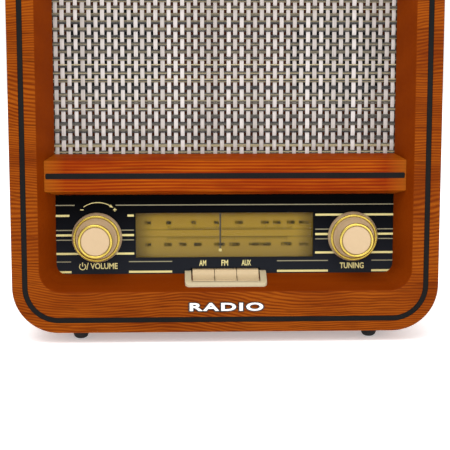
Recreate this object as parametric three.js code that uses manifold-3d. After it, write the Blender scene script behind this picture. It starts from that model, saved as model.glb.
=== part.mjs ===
// A wooden tabletop radio: a rounded cabinet with a bevelled front frame, a woven speaker
// grille over two loudspeakers, and a black dial panel with a lit tuning scale, two knobs
// and three push keys.
//
// Units are millimetres. X runs to the listener's right, Z is up, and the front of the
// radio faces -Y. Inside `radio` the front face of the frame is y = 0 and the feet stand
// on z = 0; the exported group is centred on its bounding box in X and Y.

import * as THREE from "three";
import { mergeVertices } from "three/addons/utils/BufferGeometryUtils.js";
import Module from "manifold-3d";

const wasm = await Module();
wasm.setup();

// ---------- driving dimensions ----------

const GAP = 0.3; // between pieces that touch
const EDGE_GAP = 0.5; // round a board that fills the cabinet
const LAP = 0.5; // how far pieces of one solid run into each other

// Cabinet
const WIDTH = 312;
const HEIGHT = 298; // without the feet
const DEPTH = 172; // front face of the frame to the rear edge
const CORNER = 34;
const WALL = 10;
const FOOT_HEIGHT = 8;
const FLOOR = FOOT_HEIGHT; // underside of the cabinet
const TOP = FLOOR + HEIGHT;

// Front frame and its bevelled opening
const FRAME_DEPTH = 22.7;
const SIDE_BAND = 19.8; // flat band at the sides and the top
const BOTTOM_BAND = 30.1;
const BEVEL = 10.7; // how far the sides and the top slope inwards
const BOTTOM_BEVEL = 9.7;
const OPENING_CORNER = 16;
const PANEL_CORNER = 7.5;
const INLAY_INSET = 7.65;
const INLAY_WIDTH = 3.7;
const INLAY_DEPTH = 2;

// Rail between the grille and the dial panel
const RAIL_Z = FLOOR + 114.3;
const RAIL_HALF_FRONT = 11.25;
const RAIL_HALF_REAR = 15.1;
const RAIL_FRONT_Y = 8.7;
const RAIL_INLAY_WIDTH = 4.2;
const RAIL_INLAY_CORNER = 1;

// Planes behind the frame
const PANEL_Y = FRAME_DEPTH + GAP; // front of the dial panel and of the grille cloth
const PANEL_THICKNESS = 2;
const BAFFLE_Y = 25.3;
const BAFFLE_THICKNESS = 9;
const BAFFLE_REAR = BAFFLE_Y + BAFFLE_THICKNESS;
const SEAM_Z = FLOOR + 112; // hidden behind the rail

// Dial
const DIAL_LEFT = -66.6;
const DIAL_RIGHT = 65.6;
const DIAL_BOTTOM = FLOOR + 51.9;
const DIAL_TOP = FLOOR + 85.4;
const DIAL_MARGIN = 3.5; // how far the plates reach behind the panel at the sides
const DIAL_LAP = 2.5; // and above and below
const SCALE_Y = 30;
const CHAMBER_TOP = FLOOR + 99; // cut-out in the baffle for the dial works

// Knobs
const KNOB_X = 95.3;
const KNOB_Z = FLOOR + 67.3;
const SHAFT_R = 3;

// Keys
const KEY_PITCH = 16.5;
const KEY_WIDTH = 16.1;
const BEZEL_HALF = 30.3;
const BEZEL_FRONT = 5.8;
const BEZEL_BOTTOM = FLOOR + 32;
const BEZEL_TOP = FLOOR + 41.9;
const LIP_TOP = FLOOR + 36.2; // the step in front of the keys
const KEY_LOW = LIP_TOP + GAP;
const KEY_HIGH = FLOOR + 43.2;
const KEY_TRAVEL = 3;
const KEY_HEAD_Y = 18.5; // front of a key at its top
const KEY_TOE_Y = 8.6; // front of a key at its toe
const KEY_REAR = 27;
const SWITCH_Y = 36;

// Cord drive
const CORD_Y = 41;
const CORD = 1; // section of the dial cord
const CORD_CLEAR = 0.4; // cord to groove
const SPOOL_R = 5; // groove radius of the spool and the pulleys
const DRUM_PITCH_R = 31.8; // half a turn moves the pointer 100 mm
const DRUM_R = DRUM_PITCH_R - CORD_CLEAR - CORD / 2;
const DRUM_AT = [55, FLOOR + 66];
const LEFT_PULLEY_AT = [-66, FLOOR + 97];
const RIGHT_PULLEY_AT = [KNOB_X, FLOOR + 97];
const FLANGE = 1.8; // how far a flange stands above its groove
const GROOVE = 2.2; // width of a groove
const WHEEL = 3.6; // width of a grooved wheel
const POINTER_X = -3.6;
const RAIL_ROD_R = 1.2;
const RAIL_ROD_AT = [36.9, FLOOR + 95]; // y and z
const PLATE_Y = 46;
const PLATE_THICKNESS = 1.2;

// Loudspeakers
const SPEAKER_X = 83.2;
const SPEAKER_Z = FLOOR + 200;
const SPEAKER_HOLE_R = 37;

// Rear
const COVER_Y = 166;
const COVER_THICKNESS = 3.5;
const BLOCK = 16; // corner blocks that take the rear screws
const BLOCK_LENGTH = 24;
const SCREW_DEPTH = 14; // pilot hole in a block
const PILOT_R = 1.9;
const SCREW_X = WIDTH / 2 - WALL - BLOCK / 2 - 6;
const SCREW_TOP = TOP - WALL - BLOCK / 2 - 6;
const SCREW_BOTTOM = FLOOR + WALL + BLOCK / 2 + 6;
const INLET_AT = [108, FLOOR + 40];
const SOCKET_AT = [-108, FLOOR + 40];

// ---------- materials ----------

const finish = (color, roughness, metalness = 0) =>
  new THREE.MeshStandardMaterial({ color, roughness, metalness });
const WALNUT = finish(0x9a4a12, 0.35);
const BLACK_STRIP = finish(0x1c1c1e, 0.5);
const WEAVE = finish(0xcfc9c0, 0.85);
const BOARD = finish(0x6e3a1c, 0.8);
const BLACK_GLOSS = finish(0x0c0d10, 0.25);
const AMBER = finish(0xb8924a, 0.3);
const WHITE_PLASTIC = finish(0xe8e4da, 0.5);
const CREAM = finish(0xe6cda4, 0.4);
const GOLD = finish(0xd9b84a, 0.25, 1);
const STEEL = finish(0xb4b6b8, 0.4, 1);
const DARK_STEEL = finish(0x2c2d30, 0.45, 1);
const BRASS = finish(0xc9a24e, 0.35, 1);
const RUBBER = finish(0x141414, 0.9);
const HARDBOARD = finish(0x3a2a1e, 0.85);
const BLACK_PLASTIC = finish(0x18181a, 0.5);
const CIRCUIT = finish(0x1f5a36, 0.5);
const FERRITE = finish(0x3a3a3c, 0.6);
const COPPER = finish(0xb06a3a, 0.4, 1);
const PAPER = finish(0x222222, 0.9);
const ALUMINIUM = finish(0xa8abae, 0.4, 1);
const CORD_THREAD = finish(0xd8d2c0, 0.8);
const POINTER_DARK = finish(0x3c3a34, 0.4);

// ---------- shape helpers ----------

// Any closed three.js geometry as a manifold-3d solid.
function solid(geometry) {
  const bare = new THREE.BufferGeometry();
  bare.setAttribute("position", geometry.getAttribute("position"));
  if (geometry.index) bare.setIndex(geometry.index);
  const merged = mergeVertices(bare, 1e-4);
  const index = merged.index.array;
  const kept = [];
  for (let i = 0; i < index.length; i += 3) {
    const [a, b, c] = [index[i], index[i + 1], index[i + 2]];
    if (a !== b && b !== c && c !== a) kept.push(a, b, c);
  }
  return new wasm.Manifold(
    new wasm.Mesh({
      numProp: 3,
      vertProperties: merged.attributes.position.array,
      triVerts: new Uint32Array(kept),
    }),
  );
}

// A manifold-3d solid as a geometry for a mesh.
function geometryOf(made) {
  const { vertProperties, triVerts } = made.getMesh();
  return new THREE.BufferGeometry()
    .setAttribute("position", new THREE.BufferAttribute(vertProperties, 3))
    .setIndex(new THREE.BufferAttribute(triVerts, 1));
}

const join = (...solids) => solids.reduce((a, b) => a.add(b));
const cut = (body, ...tools) => tools.reduce((a, b) => a.subtract(b), body);

// A rectangle from (x0, z0) to (x1, z1) with round corners, anticlockwise, as [x, z] points.
function roundRect(x0, z0, x1, z1, r, steps = 6) {
  const centres = [
    [x1 - r, z0 + r, -90],
    [x1 - r, z1 - r, 0],
    [x0 + r, z1 - r, 90],
    [x0 + r, z0 + r, 180],
  ];
  return centres.flatMap(([x, z, from]) =>
    Array.from({ length: steps + 1 }, (_, i) => {
      const a = THREE.MathUtils.degToRad(from + (90 * i) / steps);
      return [x + r * Math.cos(a), z + r * Math.sin(a)];
    }),
  );
}

// The cabinet's own outline, taken in by `inset`.
const cabinetOutline = (inset) =>
  roundRect(
    -WIDTH / 2 + inset,
    FLOOR + inset,
    WIDTH / 2 - inset,
    TOP - inset,
    CORNER - inset,
    8,
  );

const vectors = (points) => points.map(([x, z]) => new THREE.Vector2(x, z));

// A flat piece parallel to the front: an [x, z] outline with holes, from y0 to y1.
function slab(outline, holes, y0, y1) {
  const shape = new THREE.Shape(vectors(outline));
  shape.holes = holes.map((hole) => new THREE.Path(vectors(hole)));
  const geometry = new THREE.ExtrudeGeometry(shape, {
    depth: y1 - y0,
    bevelEnabled: false,
  });
  return solid(geometry.rotateX(Math.PI / 2).translate(0, y1, 0));
}

// A flat piece parallel to the side: a [y, z] outline, from x0 to x1.
function sideSlab(outline, x0, x1) {
  const geometry = new THREE.ExtrudeGeometry(new THREE.Shape(vectors(outline)), {
    depth: x1 - x0,
    bevelEnabled: false,
  });
  // shape x -> world y, shape y -> world z, extrusion -> world x
  const turn = new THREE.Matrix4().makeBasis(
    new THREE.Vector3(0, 1, 0),
    new THREE.Vector3(0, 0, 1),
    new THREE.Vector3(1, 0, 0),
  );
  return solid(geometry.applyMatrix4(turn).translate(x0, 0, 0));
}

const box = (x0, x1, y0, y1, z0, z1) =>
  solid(
    new THREE.BoxGeometry(x1 - x0, y1 - y0, z1 - z0).translate(
      (x0 + x1) / 2,
      (y0 + y1) / 2,
      (z0 + z1) / 2,
    ),
  );

// A straight-sided solid between two outlines of equally many points, at y0 and y1.
function loft(front, y0, rear, y1) {
  const n = front.length;
  const positions = [
    ...front.flatMap(([x, z]) => [x, y0, z]),
    ...rear.flatMap(([x, z]) => [x, y1, z]),
  ];
  const index = [];
  for (let i = 0; i < n; i++) {
    const j = (i + 1) % n;
    index.push(j, i, n + i, j, n + i, n + j);
  }
  for (const [a, b, c] of THREE.ShapeUtils.triangulateShape(vectors(front), [])) {
    index.push(a, b, c);
    index.push(n + a, n + c, n + b);
  }
  const geometry = new THREE.BufferGeometry()
    .setAttribute("position", new THREE.Float32BufferAttribute(positions, 3))
    .setIndex(index);
  return solid(geometry);
}

// A round piece about the Y axis from an [r, y] profile, in either direction.
function turned(profile, segments = 24) {
  const area = profile.reduce((sum, [r, y], i) => {
    const [r2, y2] = profile[(i + 1) % profile.length];
    return sum + r * y2 - r2 * y;
  }, 0);
  const points = vectors(area > 0 ? profile : [...profile].reverse());
  // Start where the profile comes off the axis, or else close it on itself.
  const start = points.findIndex((p, i) => p.x === 0 && points.at(i - 1).x === 0);
  if (start > 0) points.push(...points.splice(0, start));
  if (start < 0) points.push(points[0].clone());
  return solid(new THREE.LatheGeometry(points, segments));
}

const disc = (r, y0, y1, segments = 24) =>
  turned(
    [
      [0, y0],
      [r, y0],
      [r, y1],
      [0, y1],
    ],
    segments,
  );

const tube = (inner, outer, y0, y1, segments = 24) =>
  turned(
    [
      [inner, y0],
      [outer, y0],
      [outer, y1],
      [inner, y1],
    ],
    segments,
  );

// A rod along X through (y, z).
const rodX = (r, x0, x1, y, z, segments = 16) =>
  disc(r, x0, x1, segments)
    .rotate([0, 0, -90])
    .translate([0, y, z]);

const upright = (r, z0, z1, segments = 20) => disc(r, z0, z1, segments).rotate([90, 0, 0]);

const radio = new THREE.Group();

function add(name, made, material, [x, y, z] = [0, 0, 0], parent = radio) {
  const mesh = new THREE.Mesh(geometryOf(made), material);
  mesh.name = name;
  mesh.position.set(x, y, z);
  parent.add(mesh);
  return mesh;
}

// ---------- cabinet ----------

const openingFront = roundRect(
  -WIDTH / 2 + SIDE_BAND,
  FLOOR + BOTTOM_BAND,
  WIDTH / 2 - SIDE_BAND,
  TOP - SIDE_BAND,
  OPENING_CORNER,
  8,
);
const openingRear = roundRect(
  -WIDTH / 2 + SIDE_BAND + BEVEL,
  FLOOR + BOTTOM_BAND + BOTTOM_BEVEL,
  WIDTH / 2 - SIDE_BAND - BEVEL,
  TOP - SIDE_BAND - BEVEL,
  PANEL_CORNER,
  8,
);

// Half-width of the bevelled opening at a depth behind the front face.
const openingHalf = (y) => WIDTH / 2 - SIDE_BAND - (BEVEL * y) / FRAME_DEPTH;

function frontFrame() {
  const opening = loft(openingFront, 0, openingRear, FRAME_DEPTH);
  const mouths = join(
    slab(openingFront, [], -1, 0.01),
    slab(openingRear, [], FRAME_DEPTH - 0.01, FRAME_DEPTH + 1),
  );
  const groove = slab(
    cabinetOutline(INLAY_INSET - GAP / 2),
    [cabinetOutline(INLAY_INSET + INLAY_WIDTH + GAP / 2)],
    -1,
    INLAY_DEPTH + GAP,
  );
  const keyNotch = box(
    -BEZEL_HALF - GAP,
    BEZEL_HALF + GAP,
    0,
    FRAME_DEPTH + 1,
    BEZEL_BOTTOM - GAP,
    FLOOR + BOTTOM_BAND + BOTTOM_BEVEL + 1,
  );
  const body = slab(cabinetOutline(0), [], 0, FRAME_DEPTH);
  return cut(body, opening, mouths, groove, keyNotch);
}

// Screw posts in the four inner corners, as [x, z].
const cornerPosts = [
  ["top_left", -SCREW_X, SCREW_TOP],
  ["top_right", SCREW_X, SCREW_TOP],
  ["bottom_left", -SCREW_X, SCREW_BOTTOM],
  ["bottom_right", SCREW_X, SCREW_BOTTOM],
];

function cabinetShell() {
  const inner = cabinetOutline(WALL);
  const ring = slab(cabinetOutline(0), [inner], PANEL_Y, DEPTH);
  const room = slab(cabinetOutline(WALL - 1), [], PANEL_Y, COVER_Y - GAP);
  const posts = cornerPosts.map(([, x, z]) => {
    const outX = Math.sign(x) * (WIDTH / 2);
    const outZ = z > SPEAKER_Z ? TOP : FLOOR;
    const inX = x - Math.sign(x) * (BLOCK / 2);
    const inZ = z + (z > SPEAKER_Z ? -1 : 1) * (BLOCK / 2);
    const block = box(
      Math.min(inX, outX),
      Math.max(inX, outX),
      COVER_Y - BLOCK_LENGTH,
      COVER_Y - GAP,
      Math.min(inZ, outZ),
      Math.max(inZ, outZ),
    );
    const pilot = disc(PILOT_R, COVER_Y - SCREW_DEPTH, COVER_Y + 1, 12).translate([x, 0, z]);
    return cut(block.intersect(room), pilot);
  });
  return join(ring, ...posts);
}

add("front_frame", frontFrame(), WALNUT);
add("cabinet_shell", cabinetShell(), WALNUT);
add(
  "frame_inlay",
  slab(
    cabinetOutline(INLAY_INSET + GAP / 2),
    [cabinetOutline(INLAY_INSET + INLAY_WIDTH - GAP / 2)],
    0,
    INLAY_DEPTH,
  ),
  BLACK_STRIP,
);

// ---------- rail ----------

const rectangle = (half, low, high) => [
  [-half, low],
  [half, low],
  [half, high],
  [-half, high],
];

function centreRail() {
  const front = rectangle(
    openingHalf(RAIL_FRONT_Y) - GAP,
    RAIL_Z - RAIL_HALF_FRONT,
    RAIL_Z + RAIL_HALF_FRONT,
  );
  const rear = rectangle(
    openingHalf(FRAME_DEPTH) - GAP,
    RAIL_Z - RAIL_HALF_REAR,
    RAIL_Z + RAIL_HALF_REAR,
  );
  const groove = slab(
    rectangle(WIDTH / 2, RAIL_Z - RAIL_INLAY_WIDTH / 2 - GAP, RAIL_Z + RAIL_INLAY_WIDTH / 2 + GAP),
    [],
    0,
    RAIL_FRONT_Y + INLAY_DEPTH + GAP,
  );
  return cut(loft(front, RAIL_FRONT_Y, rear, FRAME_DEPTH), groove);
}

const railInlayHalf = openingHalf(RAIL_FRONT_Y + INLAY_DEPTH) - GAP;
add("centre_rail", centreRail(), WALNUT);
add(
  "rail_inlay",
  slab(
    roundRect(
      -railInlayHalf,
      RAIL_Z - RAIL_INLAY_WIDTH / 2,
      railInlayHalf,
      RAIL_Z + RAIL_INLAY_WIDTH / 2,
      RAIL_INLAY_CORNER,
      3,
    ),
    [],
    RAIL_FRONT_Y,
    RAIL_FRONT_Y + INLAY_DEPTH,
  ),
  BLACK_STRIP,
);

// ---------- grille and baffle ----------

const PANEL_HALF = WIDTH / 2 - SIDE_BAND - BEVEL + DIAL_MARGIN;
const GRILLE_TOP = TOP - SIDE_BAND - BEVEL + DIAL_MARGIN;
const GRILLE_THICKNESS = 1.6;
add(
  "grille_cloth",
  box(-PANEL_HALF, PANEL_HALF, PANEL_Y, PANEL_Y + GRILLE_THICKNESS, SEAM_Z + GAP, GRILLE_TOP),
  WEAVE,
);

const circle = (r, x, z, steps = 32) =>
  Array.from({ length: steps }, (_, i) => {
    const a = (2 * Math.PI * i) / steps;
    return [x + r * Math.cos(a), z + r * Math.sin(a)];
  });

// Cut-out for the dial works, with the key opening below it.
const KEY_OPENING_HALF = 27;
const CHAMBER_HALF = 78;
const CHAMBER_FLOOR = FLOOR + 47;
const KEY_OPENING_FLOOR = FLOOR + 29;
const SHAFT_HOLE_R = 7; // in the baffle
const PANEL_HOLE_R = 4.5; // round a shaft, in the dial panel
const dialChamber = [
  [-CHAMBER_HALF, CHAMBER_FLOOR],
  [-KEY_OPENING_HALF, CHAMBER_FLOOR],
  [-KEY_OPENING_HALF, KEY_OPENING_FLOOR],
  [KEY_OPENING_HALF, KEY_OPENING_FLOOR],
  [KEY_OPENING_HALF, CHAMBER_FLOOR],
  [CHAMBER_HALF, CHAMBER_FLOOR],
  [CHAMBER_HALF, CHAMBER_TOP],
  [-CHAMBER_HALF, CHAMBER_TOP],
];
add(
  "baffle_board",
  slab(
    cabinetOutline(WALL + EDGE_GAP),
    [
      circle(SPEAKER_HOLE_R, -SPEAKER_X, SPEAKER_Z),
      circle(SPEAKER_HOLE_R, SPEAKER_X, SPEAKER_Z),
      circle(SHAFT_HOLE_R, -KNOB_X, KNOB_Z, 16),
      circle(SHAFT_HOLE_R, KNOB_X, KNOB_Z, 16),
      dialChamber,
    ],
    BAFFLE_Y,
    BAFFLE_REAR,
  ),
  BOARD,
);

// ---------- dial panel, window, scale and lamp ----------

const dialWindowOutline = [
  [DIAL_LEFT, DIAL_BOTTOM],
  [DIAL_RIGHT, DIAL_BOTTOM],
  [DIAL_RIGHT, DIAL_TOP],
  [DIAL_LEFT, DIAL_TOP],
];
const PANEL_LOW = FLOOR + 36;
const KEY_HOLE_TOP = KEY_HIGH + 0.6;
const BEZEL_NOTCH_TOP = BEZEL_TOP + GAP;
const panelOutline = [
  [-PANEL_HALF, PANEL_LOW],
  [-BEZEL_HALF - GAP, PANEL_LOW],
  [-BEZEL_HALF - GAP, BEZEL_NOTCH_TOP],
  [-KEY_OPENING_HALF + 1, BEZEL_NOTCH_TOP],
  [-KEY_OPENING_HALF + 1, KEY_HOLE_TOP],
  [KEY_OPENING_HALF - 1, KEY_HOLE_TOP],
  [KEY_OPENING_HALF - 1, BEZEL_NOTCH_TOP],
  [BEZEL_HALF + GAP, BEZEL_NOTCH_TOP],
  [BEZEL_HALF + GAP, PANEL_LOW],
  [PANEL_HALF, PANEL_LOW],
  [PANEL_HALF, SEAM_Z],
  [-PANEL_HALF, SEAM_Z],
];
add(
  "dial_panel",
  slab(
    panelOutline,
    [
      dialWindowOutline,
      circle(PANEL_HOLE_R, -KNOB_X, KNOB_Z, 20),
      circle(PANEL_HOLE_R, KNOB_X, KNOB_Z, 20),
    ],
    PANEL_Y,
    PANEL_Y + PANEL_THICKNESS,
  ),
  BLACK_GLOSS,
);

const plateLeft = DIAL_LEFT - DIAL_MARGIN;
const plateRight = DIAL_RIGHT + DIAL_MARGIN;
const plateBottom = DIAL_BOTTOM - DIAL_LAP;
const plateTop = DIAL_TOP + DIAL_LAP;
const WINDOW_Y = PANEL_Y + PANEL_THICKNESS + GAP;
const PLATE = 1.5; // thickness of the window and of the scale
add(
  "dial_window",
  box(plateLeft, plateRight, WINDOW_Y, WINDOW_Y + PLATE, plateBottom, plateTop),
  AMBER,
);
add(
  "dial_scale_plate",
  box(plateLeft, plateRight, SCALE_Y, SCALE_Y + PLATE, plateBottom, plateTop),
  AMBER,
);

const LIGHT_BOX_Y = SCALE_Y + PLATE + GAP;
const LIGHT_BOX_REAR = 38.5;
const LIGHT_BOX_WALL = 1.2;
add(
  "light_box",
  cut(
    box(plateLeft, plateRight, LIGHT_BOX_Y, LIGHT_BOX_REAR, plateBottom, plateTop),
    box(
      plateLeft + LIGHT_BOX_WALL,
      plateRight - LIGHT_BOX_WALL,
      LIGHT_BOX_Y - 1,
      LIGHT_BOX_REAR - LIGHT_BOX_WALL,
      plateBottom + LIGHT_BOX_WALL,
      plateTop - LIGHT_BOX_WALL,
    ),
  ),
  WHITE_PLASTIC,
);

// A strip of board with five lamps standing on it.
const LAMP_BOARD = { half: 60, front: 33, rear: 36.8, thickness: 1 };
const LAMP = { half: 1.5, inset: 0.6, height: 2.6, pitch: 24 };
function lampBoard() {
  const { half, front, rear, thickness } = LAMP_BOARD;
  const z = plateBottom + LIGHT_BOX_WALL + GAP;
  const strip = box(-half, half, front, rear, z, z + thickness);
  const lamps = [-2, -1, 0, 1, 2].map((i) =>
    box(
      i * LAMP.pitch - LAMP.half,
      i * LAMP.pitch + LAMP.half,
      front + LAMP.inset,
      rear - LAMP.inset,
      z + thickness / 2,
      z + LAMP.height,
    ),
  );
  return join(strip, ...lamps);
}
add("lamp_board", lampBoard(), CIRCUIT);

// ---------- knobs ----------

// The knob stands off the panel in two tiers, with its origin on its axis where the panel's
// face is; negative y is towards the listener.
const KNOB_BACK = -0.6;
const KNOB_STEP = -7.4;
const KNOB_FACE = -21.9;
const KNOB_CROWN = 3; // solid in front of the shaft
function knobBody() {
  return turned(
    [
      [0, KNOB_FACE - 0.5],
      [10.4, KNOB_FACE],
      [10.4, KNOB_FACE + 1.5],
      [12.5, KNOB_FACE + 1.5],
      [14, KNOB_STEP + 1],
      [15.4, KNOB_STEP + 1],
      [15.4, KNOB_STEP + 1.5],
      [17.4, KNOB_STEP + 1.5],
      [18.7, KNOB_BACK],
      [16.8, KNOB_BACK],
      [16.4, KNOB_BACK - 3],
      [6, KNOB_BACK - 3],
      [6, KNOB_BACK],
      [SHAFT_R + GAP, KNOB_BACK],
      [SHAFT_R + GAP, KNOB_FACE + KNOB_CROWN],
      [0, KNOB_FACE + KNOB_CROWN],
    ],
    24,
  );
}

const knobOuterRing = () =>
  turned(
    [
      [15.6, KNOB_STEP + 1.2],
      [15.6, KNOB_STEP],
      [16.4, KNOB_STEP - 0.5],
      [17.4, KNOB_STEP + 1.2],
    ],
    24,
  );

const knobInnerRing = () =>
  turned(
    [
      [10.7, KNOB_FACE + 1.2],
      [10.7, KNOB_FACE + 0.1],
      [11.8, KNOB_FACE - 0.4],
      [12.7, KNOB_FACE + 1.2],
    ],
    24,
  );

function addKnob(name, x) {
  const knob = new THREE.Group();
  knob.position.set(x, PANEL_Y, KNOB_Z);
  radio.add(knob);
  add(`${name}_knob`, knobBody(), CREAM, undefined, knob);
  add(`${name}_knob_outer_ring`, knobOuterRing(), GOLD, undefined, knob);
  add(`${name}_knob_inner_ring`, knobInnerRing(), GOLD, undefined, knob);
}
addKnob("volume", -KNOB_X);
addKnob("tuning", KNOB_X);

const SHAFT_FRONT = PANEL_Y + KNOB_FACE + KNOB_CROWN + GAP;
const SHAFT_CLEAR = 0.4; // shaft to bearing
const POT_Y = BAFFLE_REAR + GAP;
const POT_DEPTH = 11;
const POT_R = 9;
const POT_WALL = 2;
const BUSH_R = 4.2; // threaded neck through the panel
add(
  "volume_shaft",
  disc(SHAFT_R, SHAFT_FRONT, POT_Y + POT_DEPTH - POT_WALL - GAP, 20),
  STEEL,
  [-KNOB_X, 0, KNOB_Z],
);
add(
  "volume_control",
  turned(
    [
      [SHAFT_R + SHAFT_CLEAR, PANEL_Y + 0.2],
      [BUSH_R, PANEL_Y + 0.2],
      [BUSH_R, POT_Y],
      [POT_R, POT_Y],
      [POT_R, POT_Y + POT_DEPTH],
      [0, POT_Y + POT_DEPTH],
      [0, POT_Y + POT_DEPTH - POT_WALL],
      [SHAFT_R + SHAFT_CLEAR, POT_Y + POT_DEPTH - POT_WALL],
    ],
    24,
  ),
  STEEL,
  [-KNOB_X, 0, KNOB_Z],
);

// ---------- cord drive ----------

// A grooved wheel about Y, from the given hub radius out to its flanges.
const wheelProfile = (hub, groove) => [
  [hub, CORD_Y - WHEEL / 2],
  [groove + FLANGE, CORD_Y - WHEEL / 2],
  [groove + FLANGE, CORD_Y - GROOVE / 2 - 0.2],
  [groove, CORD_Y - GROOVE / 2],
  [groove, CORD_Y + GROOVE / 2],
  [groove + FLANGE, CORD_Y + GROOVE / 2 + 0.2],
  [groove + FLANGE, CORD_Y + WHEEL / 2],
  [hub, CORD_Y + WHEEL / 2],
];

const SHAFT_TAIL = 4; // behind the plate
add(
  "tuning_shaft",
  join(
    disc(SHAFT_R, SHAFT_FRONT, PLATE_Y + PLATE_THICKNESS + SHAFT_TAIL, 16),
    turned(wheelProfile(SHAFT_R - 1, SPOOL_R), 16),
  ),
  BRASS,
  [KNOB_X, 0, KNOB_Z],
);

const PULLEY_PIN_R = 1.5;
const pulley = () => turned(wheelProfile(PULLEY_PIN_R + SHAFT_CLEAR, SPOOL_R), 16);
add("left_pulley", pulley(), WHITE_PLASTIC, [LEFT_PULLEY_AT[0], 0, LEFT_PULLEY_AT[1]]);
add("right_pulley", pulley(), WHITE_PLASTIC, [RIGHT_PULLEY_AT[0], 0, RIGHT_PULLEY_AT[1]]);

const CAPACITOR_HALF = 10;
const CAPACITOR_Y = PLATE_Y + PLATE_THICKNESS + GAP;
const CAPACITOR_DEPTH = 12;
const CAPACITOR_WALL = 2.5;

// A grooved rim, a thin web with four holes, a hub and the spindle behind it.
const RIM_R = 26;
const WEB_HALF = 0.8;
const WEB_HOLE_R = 6;
const WEB_HOLE_AT = 16;
const HUB_R = 5;
const HUB_PROUD = 1.4;
const SPINDLE_GAP = 0.5; // ahead of the capacitor's rear wall
function tuningDrum() {
  const holes = [0, 90, 180, 270].map((a) =>
    disc(WEB_HOLE_R, CORD_Y - 2, CORD_Y + 2, 10).translate([WEB_HOLE_AT, 0, 0]).rotate([0, a, 0]),
  );
  const end = CAPACITOR_Y + CAPACITOR_DEPTH - CAPACITOR_WALL - SPINDLE_GAP;
  return join(
    turned(wheelProfile(RIM_R, DRUM_R), 32),
    cut(disc(RIM_R + 1, CORD_Y - WEB_HALF, CORD_Y + WEB_HALF, 32), ...holes),
    disc(HUB_R, CORD_Y - HUB_PROUD, PLATE_Y - GAP, 12),
    disc(SHAFT_R, CORD_Y - 1, end, 12),
  );
}
add("tuning_drum", tuningDrum(), WHITE_PLASTIC, [DRUM_AT[0], 0, DRUM_AT[1]]);
const CAPACITOR_REAR = CAPACITOR_Y + CAPACITOR_DEPTH;
add(
  "tuning_capacitor",
  cut(
    box(
      -CAPACITOR_HALF,
      CAPACITOR_HALF,
      CAPACITOR_Y,
      CAPACITOR_REAR,
      -CAPACITOR_HALF,
      CAPACITOR_HALF,
    ),
    disc(SHAFT_R + SHAFT_CLEAR, CAPACITOR_Y - 1, CAPACITOR_REAR - CAPACITOR_WALL, 20),
  ),
  WHITE_PLASTIC,
  [DRUM_AT[0], 0, DRUM_AT[1]],
);

// A pressed plate behind the cord, with pins for the pulleys, two ears that hold the
// pointer's rod, and a leg at each end that stands on the baffle.
const PLATE_LEFT = -80;
const PLATE_RIGHT = 112;
const PLATE_LOW = FLOOR + 46;
const PLATE_HIGH = FLOOR + 107;
const COLLAR_R = 3; // shoulder behind each pulley
const ROD_PROUD = 2; // the pointer's rod, past each ear
const EAR_LOW = FLOOR + 88;
const EAR_HIGH = FLOOR + 100;
const LEG_LOW = FLOOR + 80;
const TOE_REACH = 8;
function dialFrame() {
  const rear = PLATE_Y + PLATE_THICKNESS;
  const [rodY, rodZ] = RAIL_ROD_AT;
  const front = BAFFLE_REAR + GAP;
  const plate = box(PLATE_LEFT, PLATE_RIGHT, PLATE_Y, rear, PLATE_LOW, PLATE_HIGH);
  const pins = [LEFT_PULLEY_AT, RIGHT_PULLEY_AT].map(([x, z]) =>
    join(
      disc(PULLEY_PIN_R, CORD_Y - WHEEL / 2, PLATE_Y + LAP, 16),
      disc(COLLAR_R, CORD_Y + WHEEL / 2 + GAP, PLATE_Y + LAP, 16),
    ).translate([x, 0, z]),
  );
  const ears = [PLATE_LEFT, PLATE_RIGHT - PLATE_THICKNESS].map((x) =>
    cut(
      box(x, x + PLATE_THICKNESS, front, rear, EAR_LOW, EAR_HIGH),
      rodX(RAIL_ROD_R + GAP, x - 1, x + 3, rodY, rodZ),
    ),
  );
  const legs = [
    [PLATE_LEFT, PLATE_LEFT - TOE_REACH],
    [PLATE_RIGHT - PLATE_THICKNESS, PLATE_RIGHT - LAP],
  ].map(([x, toeX]) =>
    join(
      box(x, x + PLATE_THICKNESS, front, rear, LEG_LOW, EAR_LOW + LAP),
      box(toeX, toeX + TOE_REACH + LAP, front, front + PLATE_THICKNESS, LEG_LOW, EAR_LOW),
    ),
  );
  const bores = [[KNOB_X, KNOB_Z], DRUM_AT].map(([x, z]) =>
    disc(SHAFT_R + SHAFT_CLEAR, PLATE_Y - 1, rear + 1, 20).translate([x, 0, z]),
  );
  return cut(join(plate, ...pins, ...ears, ...legs), ...bores);
}
add("dial_frame", dialFrame(), STEEL);
add(
  "pointer_rail",
  rodX(RAIL_ROD_R, PLATE_LEFT - ROD_PROUD, PLATE_RIGHT + ROD_PROUD, ...RAIL_ROD_AT),
  STEEL,
);

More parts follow.
